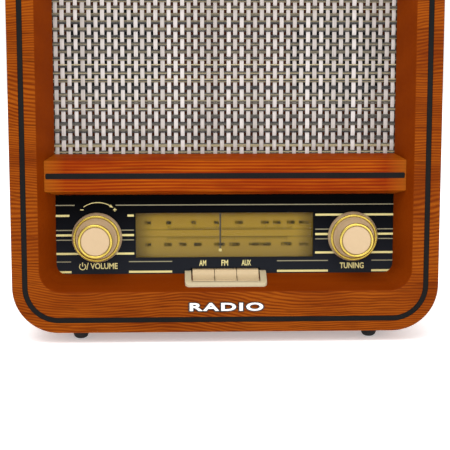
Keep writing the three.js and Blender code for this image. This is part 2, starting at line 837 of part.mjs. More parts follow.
// The carriage runs on the rod and takes hold of the cord's top run; an arm reaches over
// the light box to the blade in front of the scale. Its x = 0 is the blade.
const CORD_TOP_Z = LEFT_PULLEY_AT[1] + SPOOL_R + CORD_CLEAR;
const CARRIAGE_HALF = 6;
const GRIP_HALF = 3;
const GRIP_THICKNESS = 1.4;
const ARM_HALF = 1.5;
const ARM_LOW = plateTop + 0.6;
const ARM_HIGH = plateTop + 2.4;
const BLADE_HALF = 0.6;
const BLADE_Y = 28;
const BLADE_THICKNESS = 1;
const BLADE_LOW = FLOOR + 55.3;
function dialPointer() {
  const [rodY, rodZ] = RAIL_ROD_AT;
  const high = CORD_TOP_Z - GAP;
  const carriage = cut(
    box(-CARRIAGE_HALF, CARRIAGE_HALF, rodY - 2, rodY + 2, ARM_LOW, high),
    rodX(RAIL_ROD_R + GAP, -CARRIAGE_HALF - 1, CARRIAGE_HALF + 1, rodY, rodZ),
  );
  const grip = box(-GRIP_HALF, GRIP_HALF, rodY + 1.8, CORD_Y + 1, high - GRIP_THICKNESS, high);
  const arm = box(-ARM_HALF, ARM_HALF, BLADE_Y, rodY - 1.3, ARM_LOW, ARM_HIGH);
  const blade = box(
    -BLADE_HALF,
    BLADE_HALF,
    BLADE_Y,
    BLADE_Y + BLADE_THICKNESS,
    BLADE_LOW,
    ARM_HIGH,
  );
  return join(carriage, grip, arm, blade);
}
add("dial_pointer", dialPointer(), POINTER_DARK, [POINTER_X, 0, 0]);

// The cord's loop is the outline around its four wheels, in the order a point on it
// travels: left pulley, right pulley, spool, drum. All turn the same way.
function cordLoop(grow) {
  const wheels = [
    [...LEFT_PULLEY_AT, SPOOL_R],
    [...RIGHT_PULLEY_AT, SPOOL_R],
    [KNOB_X, KNOB_Z, SPOOL_R],
    [...DRUM_AT, DRUM_R],
  ].map(([x, z, r]) => ({ x, z, r: r + CORD_CLEAR + grow }));
  // The outer tangent from wheel a to wheel b leaves both at the same angle.
  const leave = wheels.map((a, i) => {
    const b = wheels[(i + 1) % wheels.length];
    const along = Math.atan2(b.z - a.z, b.x - a.x);
    const spread = Math.asin((a.r - b.r) / Math.hypot(b.x - a.x, b.z - a.z));
    return along + Math.PI / 2 - spread;
  });
  const clockwise = wheels.flatMap(({ x, z, r }, i) => {
    const from = leave[(i + wheels.length - 1) % wheels.length];
    let to = leave[i];
    while (to > from) to -= 2 * Math.PI;
    const steps = Math.max(2, Math.ceil((from - to) / THREE.MathUtils.degToRad(10)));
    return Array.from({ length: steps + 1 }, (_, k) => {
      const a = from + ((to - from) * k) / steps;
      return [x + r * Math.cos(a), z + r * Math.sin(a)];
    });
  });
  return clockwise.reverse();
}
add(
  "dial_cord",
  slab(cordLoop(CORD), [cordLoop(0)], CORD_Y - CORD / 2, CORD_Y + CORD / 2),
  CORD_THREAD,
);

// ---------- keys ----------

// The bezel's cheeks slope forward from the panel to a low lip in front of the keys.
const CHEEK_BEND = [14, FLOOR + 38.6]; // y and z
const LIP_EDGE = FLOOR + 34.7;
const LIP_RUN = 2.4; // depth of the lip's slope
const BEZEL_CLEAR = 0.6; // cheek to key
function keyBezel() {
  const rear = BAFFLE_Y - GAP;
  const front = [
    [BEZEL_FRONT + LIP_RUN, LIP_TOP],
    [BEZEL_FRONT, LIP_EDGE],
    [BEZEL_FRONT, BEZEL_BOTTOM],
  ];
  const cheek = [
    [rear, BEZEL_BOTTOM],
    [rear, BEZEL_TOP],
    [PANEL_Y - 1, BEZEL_TOP],
    CHEEK_BEND,
    ...front,
  ];
  const lip = [[rear, BEZEL_BOTTOM], [rear, LIP_TOP], ...front];
  const inner = KEY_PITCH + KEY_WIDTH / 2 + BEZEL_CLEAR;
  return join(
    sideSlab(cheek, -BEZEL_HALF, -inner),
    sideSlab(cheek, inner, BEZEL_HALF),
    sideSlab(lip, -BEZEL_HALF, BEZEL_HALF),
  );
}
add("key_bezel", keyBezel(), CREAM);

// A key's face is hollow, from upright at its top to nearly flat at its toe.
const KEY_TOE_HEIGHT = 0.6;
const KEY_FACE_STEPS = 6;
const KEY_STEM_HALF = 2;
const KEY_STEM_LOW = KEY_LOW + 0.5;
const KEY_STEM_HEIGHT = 4;
function key() {
  const depth = KEY_HEAD_Y - KEY_TOE_Y;
  const drop = KEY_HIGH - KEY_LOW - KEY_TOE_HEIGHT;
  const face = Array.from({ length: KEY_FACE_STEPS + 1 }, (_, i) => {
    const a = ((Math.PI / 2) * i) / KEY_FACE_STEPS;
    return [KEY_HEAD_Y - depth * (1 - Math.cos(a)), KEY_HIGH - drop * Math.sin(a)];
  });
  const profile = [[KEY_REAR, KEY_LOW], [KEY_REAR, KEY_HIGH], ...face, [KEY_TOE_Y, KEY_LOW]];
  const cap = sideSlab(profile, -KEY_WIDTH / 2, KEY_WIDTH / 2);
  const stem = box(
    -KEY_STEM_HALF,
    KEY_STEM_HALF,
    KEY_REAR - 1,
    SWITCH_Y - KEY_TRAVEL - GAP,
    KEY_STEM_LOW,
    KEY_STEM_LOW + KEY_STEM_HEIGHT,
  );
  return join(cap, stem);
}
["am_key", "fm_key", "aux_key"].forEach((name, i) =>
  add(name, key(), CREAM, [(i - 1) * KEY_PITCH, 0, 0]),
);
const SWITCH_HALF = 26;
const SWITCH_REAR = 50;
add(
  "key_switch_bank",
  box(-SWITCH_HALF, SWITCH_HALF, SWITCH_Y, SWITCH_REAR, BEZEL_BOTTOM, FLOOR + 41.5),
  BLACK_PLASTIC,
);

// ---------- loudspeakers ----------

// Sections as [radius, depth behind the baffle].
const CONE_TRAVEL = 1;
const SPEAKER_SEGMENTS = 20;

// A flange on the baffle and a bowl back to the magnet.
const BASKET_R = 42;
const BASKET_NECK_R = 24;
const BASKET_DEPTH = 25;
const COIL_HOLE_R = 11.4;
const BASKET_SECTION = [
  [37.6, 0],
  [BASKET_R, 0],
  [BASKET_R, 1.5],
  [38.6, 1.5],
  [BASKET_NECK_R, BASKET_DEPTH - 2],
  [BASKET_NECK_R, BASKET_DEPTH],
  [COIL_HOLE_R, BASKET_DEPTH],
  [COIL_HOLE_R, BASKET_DEPTH - 1.6],
  [BASKET_NECK_R - 1.2, BASKET_DEPTH - 1.6],
  [BASKET_NECK_R - 1.2, BASKET_DEPTH - 2.4],
  [37.4, 1.2],
];
const SURROUND_SECTION = [
  [32.6, 1.6],
  [33.6, 0.3],
  [35, -0.4],
  [36.4, 0.3],
  [37.2, 0.9],
  [36.6, 1.5],
  [35, 0.8],
  [33.8, 1.6],
  [33.3, 2.2],
];

// The cone with its dust cap and voice coil former, open at the rear.
const FORMER_R = 10.8;
const FORMER_REAR = 25.5;
const CONE_SECTION = [
  [0, 9.2],
  [5, 9.8],
  [10.4, 13],
  [32, 1.9],
  [32.2, 2.7],
  [FORMER_R, 14.2],
  [FORMER_R, FORMER_REAR],
  [FORMER_R - 0.6, FORMER_REAR],
  [FORMER_R - 0.6, 14],
  [4.8, 10.8],
  [0, 10.2],
];
const MAGNET_R = 22;
const MAGNET_FRONT = BASKET_DEPTH + GAP;
const MAGNET_REAR = 36;
const COIL_GAP_FLOOR = FORMER_REAR + CONE_TRAVEL + 1.9;
const MAGNET_SECTION = [
  [0, COIL_GAP_FLOOR],
  [COIL_HOLE_R - 0.1, COIL_GAP_FLOOR],
  [COIL_HOLE_R - 0.1, MAGNET_FRONT],
  [MAGNET_R, MAGNET_FRONT],
  [MAGNET_R, MAGNET_REAR],
  [0, MAGNET_REAR],
];

function addSpeaker(side, x) {
  const speaker = new THREE.Group();
  speaker.position.set(x, BAFFLE_REAR + GAP, SPEAKER_Z);
  radio.add(speaker);
  for (const [name, section, material] of [
    ["basket", BASKET_SECTION, DARK_STEEL],
    ["surround", SURROUND_SECTION, RUBBER],
    ["cone", CONE_SECTION, PAPER],
    ["magnet", MAGNET_SECTION, FERRITE],
  ])
    add(
      `${side}_speaker_${name}`,
      turned(section, SPEAKER_SEGMENTS),
      material,
      undefined,
      speaker,
    );
}
addSpeaker("left", -SPEAKER_X);
addSpeaker("right", SPEAKER_X);

// ---------- circuit boards and supply ----------

// A board on four posts, with blocks and round cans standing on it.
const INNER_FLOOR = FLOOR + WALL + GAP;
const BOARD_HALF = 60;
const BOARD_Y = [60, 140]; // front and rear edges
const BOARD_Z = INNER_FLOOR + 6;
const BOARD_TOP = BOARD_Z + 1.6;
const BOARD_POST = { r: 3, height: 6.5, inset: 5, insetY: 6 };
// x from and to, y from and to, height
const CHIPS = [
  [-10, 14, 80, 94, 2.4],
  [24, 34, 76, 84, 2],
  [30, 44, 100, 112, 9],
  [-48, -34, 74, 90, 3],
];
// x, y, radius, height
const CANS = [
  [10, 122, 6, 18],
  [28, 126, 5, 14],
  [46, 124, 4, 12],
];
function mainBoard() {
  const { r, height, inset, insetY } = BOARD_POST;
  const [front, rear] = BOARD_Y;
  const posts = [-1, 1].flatMap((side) =>
    [front + insetY, rear - insetY].map((y) =>
      upright(r, 0, height, 10).translate([side * (BOARD_HALF - inset), y, INNER_FLOOR]),
    ),
  );
  const board = box(-BOARD_HALF, BOARD_HALF, front, rear, BOARD_Z, BOARD_TOP);
  const deck = BOARD_Z + 1; // parts are let into the board's upper face
  const chips = CHIPS.map(([x0, x1, y0, y1, h]) => box(x0, x1, y0, y1, deck, deck + h));
  const cans = CANS.map(([x, y, r, h]) => upright(r, 0, h, 14).translate([x, y, deck]));
  return join(board, ...posts, ...chips, ...cans);
}
add("main_board", mainBoard(), CIRCUIT);

// A plate with fins on its rear.
const SINK = { left: -52, right: -12, front: 118, thickness: 3, rear: 134, height: 28 };
const FIN_COUNT = 6;
const FIN_THICKNESS = 2;
function heatSink() {
  const { left, right, front, thickness, rear, height } = SINK;
  const low = BOARD_TOP + GAP;
  const step = (right - left - FIN_THICKNESS) / (FIN_COUNT - 1);
  const plate = box(left, right, front, front + thickness, low, low + height);
  const fins = Array.from({ length: FIN_COUNT }, (_, i) => {
    const x = left + i * step;
    return box(x, x + FIN_THICKNESS, front + thickness - 1, rear, low, low + height);
  });
  return join(plate, ...fins);
}
add("amplifier_heat_sink", heatSink(), ALUMINIUM);

// Stacked core, coil through its middle, and a strap with two feet over it.
const CORE = { half: 20, halfDepth: 14, low: 2, high: 36 };
const COIL = { half: 14, halfDepth: 22, low: 8, high: 30 };
const STRAP = { half: 21.5, halfDepth: 8, high: 37.5 };
const STRAP_FOOT = { half: 28, halfDepth: 10, high: 2.5 };
const TRANSFORMER_AT = [92, 118, INNER_FLOOR];
function transformer() {
  const block = ({ half, halfDepth, low = 0, high }) =>
    box(-half, half, -halfDepth, halfDepth, low, high);
  return join(
    block(CORE),
    block(COIL),
    block(STRAP_FOOT),
    block({ ...STRAP, low: CORE.low }),
  );
}
add("power_transformer", transformer(), COPPER, TRANSFORMER_AT);

// ---------- aerial ----------

const ROD_AT = [104, TOP - 34]; // y and z of the ferrite rod
const ROD_R = 5;
const ROD_HALF = 62;
const HOLDER_HALF = 8; // to the front and to the rear of the rod
const HOLDER_FOOT = 2;
const ARM_X = 50;
const ARM_HALF_THICKNESS = 2;
const AERIAL_COIL = { r: 7.4, x0: 12, x1: 38 };

// A foot under the cabinet's top with two arms that the rod passes through.
function ferriteHolder() {
  const [y, z] = ROD_AT;
  const ceiling = TOP - WALL - GAP;
  const [front, rear] = [y - HOLDER_HALF, y + HOLDER_HALF];
  const half = ARM_X + ARM_HALF_THICKNESS;
  const foot = box(-half, half, front, rear, ceiling - HOLDER_FOOT, ceiling);
  const arms = [-ARM_X, ARM_X].map((x) =>
    cut(
      box(x - ARM_HALF_THICKNESS, x + ARM_HALF_THICKNESS, front, rear, z - HOLDER_HALF, ceiling - 1),
      rodX(ROD_R + GAP, x - 3, x + 3, y, z, 20),
    ),
  );
  return join(foot, ...arms);
}
add("ferrite_holder", ferriteHolder(), WHITE_PLASTIC);
add("ferrite_rod", rodX(ROD_R, -ROD_HALF, ROD_HALF, ...ROD_AT, 20), FERRITE);
add(
  "ferrite_coil",
  tube(ROD_R + GAP, AERIAL_COIL.r, AERIAL_COIL.x0, AERIAL_COIL.x1, 20)
    .rotate([0, 0, -90])
    .translate([0, ...ROD_AT]),
  COPPER,
);

// ---------- rear ----------

const COVER_REAR = COVER_Y + COVER_THICKNESS;
const VENT_ROWS = [FLOOR + 96, FLOOR + 146, FLOOR + 196];
const VENT_COUNT = 8; // in a row
const VENT_PITCH = 16;
const VENT_HALF = 2;
const VENT_LENGTH = 34;
const SCREW_R = 1.5;
const SCREW_HOLE_R = 2;
const INLET_HOLE = { half: 11, tall: 7, corner: 5 };
const SOCKET_NECK_R = 6;

// A slot or plate of half-width `half` and half-height `tall` about (x, z).
const pill = ({ half, tall, corner }, x = 0, z = 0) =>
  roundRect(x - half, z - tall, x + half, z + tall, corner, 3);

function rearCover() {
  const holes = [
    ...cornerPosts.map(([, x, z]) => circle(SCREW_HOLE_R, x, z, 12)),
    pill(INLET_HOLE, ...INLET_AT),
    circle(SOCKET_NECK_R + 0.4, ...SOCKET_AT, 20),
  ];
  const vents = VENT_ROWS.flatMap((z) =>
    Array.from({ length: VENT_COUNT }, (_, i) => {
      const x = (i - (VENT_COUNT - 1) / 2) * VENT_PITCH;
      return box(x - VENT_HALF, x + VENT_HALF, COVER_Y - 1, COVER_REAR + 1, z, z + VENT_LENGTH);
    }),
  );
  return cut(slab(cabinetOutline(WALL + 0.4), holes, COVER_Y, COVER_REAR), ...vents);
}
add("rear_cover", rearCover(), HARDBOARD);

// A pointed shank and a low head with a straight slot.
const SCREW_HEAD_R = 3.6;
const SCREW_HEAD = 2.1;
const SLOT_HALF = 0.45;
function rearScrew() {
  const head = COVER_REAR + GAP;
  const body = turned(
    [
      [0, COVER_Y - 10],
      [SCREW_R, COVER_Y - 7.5],
      [SCREW_R, head],
      [SCREW_HEAD_R, head],
      [SCREW_HEAD_R - 1, head + SCREW_HEAD - 0.5],
      [0, head + SCREW_HEAD],
    ],
    12,
  );
  return cut(body, box(-2.2, 2.2, head + 1, head + 3, -SLOT_HALF, SLOT_HALF));
}
for (const [corner, x, z] of cornerPosts)
  add(`rear_screw_${corner}`, rearScrew(), DARK_STEEL, [x, 0, z]);

// Two-pin inlet with a recess that takes the lead's connector.
const INLET_FLANGE = { half: 14, tall: 9.5, corner: 4 };
const INLET_BODY = { half: 10.6, tall: 6.6, corner: 5 };
const INLET_RECESS = { half: 8.6, tall: 4.6, corner: 4 };
const INLET_DEPTH = 16; // in front of the cover
const RECESS_DEPTH = 10;
const PIN_X = 4.3;
const PIN_R = 1.15;
function mainsInlet() {
  const face = COVER_REAR + GAP;
  const flange = slab(pill(INLET_FLANGE), [], face, face + 1.6);
  const body = slab(pill(INLET_BODY), [], COVER_Y - INLET_DEPTH, face + 0.5);
  const recess = slab(pill(INLET_RECESS), [], COVER_Y - RECESS_DEPTH, face + 3);
  const pins = [-PIN_X, PIN_X].map((x) =>
    disc(PIN_R, COVER_Y - RECESS_DEPTH - 1, face - 2, 10).translate([x, 0, 0]),
  );
  return join(cut(join(flange, body), recess), ...pins);
}
add("mains_inlet", mainsInlet(), BLACK_PLASTIC, [INLET_AT[0], 0, INLET_AT[1]]);

// Coaxial socket for an outside aerial, with a bore for the contact.
const SOCKET_BORE_R = 0.6;
const SOCKET_MOUTH_R = 3.2;
const SOCKET_FACE = COVER_REAR + 2.2;
const SOCKET_FLANGE_R = 7.6;
add(
  "aerial_socket",
  turned(
    [
      [SOCKET_BORE_R, COVER_REAR - 3],
      [SOCKET_MOUTH_R, COVER_REAR - 3],
      [SOCKET_MOUTH_R, SOCKET_FACE],
      [SOCKET_MOUTH_R + 1.5, SOCKET_FACE],
      [SOCKET_MOUTH_R + 1.5, SOCKET_FACE - 1],
      [SOCKET_FLANGE_R, SOCKET_FACE - 1],
      [SOCKET_FLANGE_R, COVER_REAR + GAP],
      [SOCKET_NECK_R, COVER_REAR + GAP],
      [SOCKET_NECK_R, COVER_Y - 8],
      [SOCKET_BORE_R, COVER_Y - 8],
    ],
    20,
  ),
  STEEL,
  [SOCKET_AT[0], 0, SOCKET_AT[1]],
);

// ---------- feet and badge ----------

const FOOT_R = 5.9;
const foot = () =>
  turned(
    [
      [0, 0],
      [2.8, 0],
      [4.8, 1.4],
      [FOOT_R, 4.2],
      [FOOT_R, FOOT_HEIGHT - GAP],
      [0, FOOT_HEIGHT - GAP],
    ],
    20,
  ).rotate([90, 0, 0]);
const FOOT_X = 108;
const FRONT_FOOT_Y = 21;
const REAR_FOOT_Y = 150;
for (const [end, y] of [
  ["front", FRONT_FOOT_Y],
  ["rear", REAR_FOOT_Y],
])
  for (const [side, x] of [
    ["left", -FOOT_X],
    ["right", FOOT_X],
  ])
    add(`foot_${end}_${side}`, foot(), RUBBER, [x, y, 0]);

const BADGE_HALF = 28.3;
const BADGE_PROUD = 1.3;
const BADGE_LOW = FLOOR + 14.9;
const BADGE_HEIGHT = 8.4;
add(
  "name_badge",
  box(-BADGE_HALF, BADGE_HALF, -BADGE_PROUD, -GAP, BADGE_LOW, BADGE_LOW + BADGE_HEIGHT),
  WHITE_PLASTIC,
);

// Centre the part on its bounding box: the badge is foremost and the shell rearmost.
radio.position.y = (BADGE_PROUD - DEPTH) / 2;

const part = new THREE.Group();
part.add(radio);

export default part;
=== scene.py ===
"""Looks of a wooden tabletop radio: walnut cabinet, woven grille, black dial panel with a lit
scale, cream knobs with gilt rings and cream keys. Lengths in the tables are millimetres, taken
from the front face of the cabinet (y), its underside (z) and its middle (x)."""
import math

import bpy
import numpy as np
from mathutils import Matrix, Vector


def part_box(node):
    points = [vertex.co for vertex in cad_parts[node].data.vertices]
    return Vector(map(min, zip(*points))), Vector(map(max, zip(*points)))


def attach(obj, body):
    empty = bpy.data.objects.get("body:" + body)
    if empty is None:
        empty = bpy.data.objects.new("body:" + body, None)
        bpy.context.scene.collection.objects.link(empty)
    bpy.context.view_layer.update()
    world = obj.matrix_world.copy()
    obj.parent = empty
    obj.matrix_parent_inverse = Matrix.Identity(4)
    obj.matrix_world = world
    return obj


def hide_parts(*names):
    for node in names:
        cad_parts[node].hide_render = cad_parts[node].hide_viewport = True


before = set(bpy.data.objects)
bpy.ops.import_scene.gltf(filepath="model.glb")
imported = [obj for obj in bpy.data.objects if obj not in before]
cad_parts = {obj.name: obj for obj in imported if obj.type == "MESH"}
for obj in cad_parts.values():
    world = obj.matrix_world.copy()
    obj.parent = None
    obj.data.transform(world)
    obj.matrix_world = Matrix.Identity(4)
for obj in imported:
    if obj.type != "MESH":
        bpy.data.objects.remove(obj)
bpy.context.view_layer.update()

MM = 0.001
WELD = 1e-7  # points closer than this are one point

# ---------- places, from the frame ----------

FRAME_LOW, FRAME_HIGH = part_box("front_frame")
SHELL_LOW, SHELL_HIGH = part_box("cabinet_shell")
HALF = FRAME_HIGH.x / MM  # half the cabinet's width
FRONT = FRAME_LOW.y / MM
BASE = FRAME_LOW.z / MM
TALL = (FRAME_HIGH.z - FRAME_LOW.z) / MM
FRAME_DEPTH = (FRAME_HIGH.y - FRAME_LOW.y) / MM
SHELL_FRONT = SHELL_LOW.y / MM - FRONT
SHELL_REAR = SHELL_HIGH.y / MM - FRONT
PANEL_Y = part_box("dial_panel")[0].y / MM - FRONT
SCALE_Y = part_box("dial_scale_plate")[0].y / MM - FRONT


def middle(node):
    """The middle of a node's box, in the tables' millimetres."""
    low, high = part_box(node)
    x, y, z = (low + high) / 2 / MM
    return x, y - FRONT, z - BASE


def span(node):
    """A node's lowest and highest corners, in the tables' millimetres."""
    return [(c.x / MM, c.y / MM - FRONT, c.z / MM - BASE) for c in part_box(node)]


KNOB_X, _, KNOB_Z = middle("tuning_knob")

# ---------- sizes ----------

CORNER = 34  # radius of the cabinet's corners
WALL = 10
SIDE_BAND = 19.8  # flat of the front board, from the side to the bevel
BOTTOM_BAND = 30.1  # the same, from the underside
BEVEL = 10.7  # how far the bevel runs in, at the sides and top
BOTTOM_BEVEL = 9.7
OPENING_CORNER = 16  # corner radius at the bevel's front edge
PANEL_CORNER = 7.5  # and at its rear edge
INLAY_INSET = 7.65
INLAY_WIDTH = 3.7
GROOVE_DEPTH = 2.3
GROOVE_CLEAR = 0.1
INLAY_CLEAR = 0.05
INLAY_DEPTH = 2
INLAY_CROWN = 0.08
RAIL_MIDDLE = 114.3
RAIL_FRONT_Y = 8.7
RAIL_HALF_FRONT = 11.25  # half the rail's height at its face
RAIL_HALF_REAR = 15.1
RAIL_CLEAR = 0.15  # rail to bevel
RAIL_END_POINT = 7  # behind its face, where its ends come to a point in the flat
RAIL_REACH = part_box("centre_rail")[1].x  # metres
RAIL_INLAY = 4.2
RAIL_INLAY_DEPTH = 1.5
RAIL_INLAY_CROWN = 0.12
POST_LENGTH = 24
POST_HALF = 8
POST_GAP = 0.3  # post to rear cover
PRINT = 0.08  # how far the panel's print stands proud
PRINT_SUNK = 0.02  # how far it reaches into what it is printed on

# ---------- surfaces ----------


def grid_faces(rows, columns, round_rows, round_columns):
    """Four-sided faces of a grid of points, closed on itself in either direction."""
    i = np.arange(rows if round_rows else rows - 1)[:, None]
    j = np.arange(columns if round_columns else columns - 1)[None, :]
    i2, j2 = (i + 1) % rows, (j + 1) % columns
    corners = [i * columns + j, i2 * columns + j, i2 * columns + j2, i * columns + j2]
    return np.stack(np.broadcast_arrays(*corners), -1).reshape(-1, 4)


def joined(*solids):
    """Several (points, faces) pairs as one."""
    starts = np.cumsum([0] + [len(points) for points, _ in solids[:-1]])
    points = np.concatenate([points for points, _ in solids])
    return points, np.concatenate([faces + s for (_, faces), s in zip(solids, starts)])


def eased(corners, ease, steps=4, closed=True):
    """A run of straight stretches whose corners are parabolas. Each parabola leaves the two
    stretches at `ease` from the corner, or at 0.45 of the shorter one, and pulls to the corner."""
    p = np.asarray(corners, float)
    back, ahead = np.roll(p, 1, axis=0), np.roll(p, -1, axis=0)
    reach = np.broadcast_to(np.asarray(ease, float), len(p))

    def toward(q):
        far = np.linalg.norm(q - p, axis=1)
        part = np.minimum(reach, 0.45 * far) / np.maximum(far, 1e-9)
        return p + (q - p) * part[:, None]

    a, b = toward(back)[:, None], toward(ahead)[:, None]
    t = np.linspace(0, 1, steps + 1)[None, :, None]
    curve = (1 - t) ** 2 * a + 2 * t * (1 - t) * p[:, None] + t**2 * b
    if closed:
        return curve.reshape(-1, p.shape[1])
    inner = curve[1:-1].reshape(-1, p.shape[1])
    return np.concatenate([p[:1], inner, p[-1:]])


def ring(profile, steps=20):
    """A closed profile of (side inset, bottom inset, corner radius, depth) carried round the
    cabinet: at each corner, centre plus radius times (cos, sin) of a quarter turn."""
    side, low, radius, depth = np.asarray(profile, float).T
    rows = []
    for right, up, start in ((1, 0, -90), (1, 1, 0), (-1, 1, 90), (-1, 0, 180)):
        a = np.radians(start + np.linspace(0, 90, steps + 1))[:, None]
        x = right * (HALF - side - radius) + radius * np.cos(a)
        z = (TALL - side - radius if up else low + radius) + radius * np.sin(a)
        rows.append(np.stack([x, np.broadcast_to(depth, x.shape), z], -1))
    points = np.concatenate(rows)
    return points.reshape(-1, 3), grid_faces(*points.shape[:2], True, True)


def turned(profile, x, z, steps=96, closed=False):
    """A profile of (radius, depth) turned about the line along y through (x, z)."""
    r, y = np.asarray(profile, float).T
    a = np.linspace(0, 2 * math.pi, steps, endpoint=False)[:, None]
    points = np.stack([x + r * np.cos(a), np.broadcast_to(y, (steps, len(y))), z + r * np.sin(a)], -1)
    return points.reshape(-1, 3), grid_faces(steps, len(y), True, closed)


def upright(profile, x, y, steps=64):
    """A profile of (radius, height) turned about the upright line through (x, y)."""
    points, faces = turned(profile, x, y, steps)
    return points[:, [0, 2, 1]], faces


def bar(section, x0, x1, ease=0.0, steps=5):
    """A closed section in (y, z) carried along x. Towards each end it shrinks about its middle
    along a quarter circle of radius `ease`, and both ends are closed by a point."""
    section = np.asarray(section, float)
    centre = (section.min(0) + section.max(0)) / 2
    size = section.max(0) - section.min(0)
    a = np.linspace(0, math.pi / 2, steps + 1)
    lead = np.concatenate([[0], ease * (1 - np.cos(a))])
    shrink = np.concatenate([[min(size) / 2], ease * (1 - np.sin(a))])
    x = np.concatenate([x0 + lead, (x1 - lead)[::-1]])
    shrink = np.concatenate([shrink, shrink[::-1]])
    scale = 1 - 2 * shrink[:, None] / size
    scale[[0, -1]] = 0
    yz = centre + (section - centre)[None] * scale[:, None]
    points = np.concatenate([np.broadcast_to(x[:, None, None], yz.shape[:2] + (1,)), yz], -1)
    return points.reshape(-1, 3), grid_faces(*yz.shape[:2], False, True)


def between(upper, lower):
    """The closed solid between two sheets of points on the same grid."""
    rows, columns = upper.shape[:2]
    n = rows * columns
    sheet = grid_faces(rows, columns, False, False)
    cell = np.arange(n).reshape(rows, columns)
    rim = np.concatenate([cell[:-1, 0], cell[-1, :-1], cell[:0:-1, -1], cell[0, :0:-1]])
    ahead = np.roll(rim, -1)
    wall = np.stack([ahead, rim, rim + n, ahead + n], -1)
    points = np.concatenate([upper.reshape(-1, 3), lower.reshape(-1, 3)])
    return points, np.concatenate([sheet, sheet[:, ::-1] + n, wall])


def plate(x0, x1, z0, z1, front, rear):
    """A thin flat piece on the panel, with its front edges drawn in by a third of its depth."""
    draw = (rear - front) / 3
    section = [(rear, z0), (rear, z1), (front, z1 - draw), (front, z0 + draw)]
    return bar(section, x0, x1)


def piece(name, solid, body, materials, kinds=None, sharp=35, attribute=None):
    """Put a solid into the scene. Coincident points are welded, faces that have lost a side
    become triangles, and a surface whose volume comes out negative is turned over.
    `kinds` gives each face's place in `materials`, and `attribute` a value for each point."""
    points, faces = solid
    points = (points + [0, FRONT, BASE]) * MM
    _, first, where = np.unique(
        np.round(points / WELD).astype(np.int64), axis=0, return_index=True, return_inverse=True
    )
    where = where.reshape(-1)
    faces = where[faces]
    points = points[first]
    follows = np.roll(faces, -1, axis=1)
    doubled = faces == follows
    whole = ~doubled.any(1)
    three = doubled.sum(1) == 1
    kept = np.nonzero(whole | three)[0]
    a, b, c, d = (points[faces[kept, k]] for k in range(4))
    volume = (np.cross(a, b) * c).sum() + (np.cross(a, c) * d).sum()
    if volume < 0:
        faces = faces[:, ::-1]
        doubled = faces == np.roll(faces, -1, axis=1)
    listed = [
        faces[k].tolist() if whole[k] else faces[k][~doubled[k]].tolist() for k in kept
    ]
    mesh = bpy.data.meshes.new(name)
    mesh.from_pydata(points.tolist(), [], listed)
    materials = materials if isinstance(materials, (list, tuple)) else [materials]
    for m in materials:
        mesh.materials.append(m)
    if kinds is not None:
        mesh.polygons.foreach_set("material_index", np.asarray(kinds, np.int32)[kept])
    if attribute is not None:
        label, values = attribute
        made = mesh.attributes.new(label, "FLOAT", "POINT")
        made.data.foreach_set("value", np.asarray(values, np.float32)[first])
    mesh.shade_smooth()
    mesh.set_sharp_from_angle(angle=math.radians(sharp))
    made = bpy.data.objects.new(name, mesh)
    bpy.context.scene.collection.objects.link(made)
    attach(made, body)
    return made


# ---------- material parts ----------


MIX, MIX_A, MIX_B = 0, 6, 7  # a colour Mix node's factor and its two colours


class Tree:
    """A node tree with short calls for adding and joining nodes."""

    def __init__(self, tree):
        self.tree = tree

    def add(self, kind, values=None, links=None, **settings):
        node = self.tree.nodes.new(f"ShaderNode{kind}")
        for key, value in settings.items():
            setattr(node, key, value)
        for key, value in (values or {}).items():
            node.inputs[key].default_value = value
        for key, source in (links or {}).items():
            self.tree.links.new(source, node.inputs[key])
        return node

    def math(self, operation, a, b=None):
        node = self.add("Math", operation=operation)
        for k, value in enumerate((a, b)):
            if isinstance(value, bpy.types.NodeSocket):
                self.tree.links.new(value, node.inputs[k])
            elif value is not None:
                node.inputs[k].default_value = value
        return node.outputs[0]

    def ramp(self, factor, stops):
        node = self.add("ValToRGB", links={"Fac": factor})
        elements = node.color_ramp.elements
        for place, _ in stops[1:-1]:
            elements.new(place)
        elements[0].position, elements[-1].position = stops[0][0], stops[-1][0]
        for element, (_, colour) in zip(elements, stops):
            element.color = (*colour, 1)
        return node.outputs[0]

    def mapped(self, source, scale, turn=(0, 0, 0)):
        node = self.add("Mapping", {"Scale": scale, "Rotation": turn}, {"Vector": source})
        return node.outputs[0]

    def mixed(self, factor, a, b, blend="MIX"):
        """Two colours, or a colour times another, by a factor. Each may be a value or a socket."""
        node = self.add("Mix", data_type="RGBA", blend_type=blend)
        for key, value in ((MIX, factor), (MIX_A, a), (MIX_B, b)):
            if isinstance(value, bpy.types.NodeSocket):
                self.tree.links.new(value, node.inputs[key])
            else:
                node.inputs[key].default_value = value
        return node.outputs[2]


def group(name, inputs, outputs, fill):
    """A shader node group with named inputs (name, kind, default) and outputs."""
    tree = bpy.data.node_groups.new(name, "ShaderNodeTree")
    for label, kind, default in inputs:
        socket = tree.interface.new_socket(label, in_out="INPUT", socket_type=f"NodeSocket{kind}")
        if default is not None:
            socket.default_value = default
    for label, kind in outputs:
        tree.interface.new_socket(label, in_out="OUTPUT", socket_type=f"NodeSocket{kind}")
    t = Tree(tree)
    source, sink = tree.nodes.new("NodeGroupInput"), tree.nodes.new("NodeGroupOutput")
    for label, socket in fill(t, source.outputs).items():
        tree.links.new(socket, sink.inputs[label])
    return tree


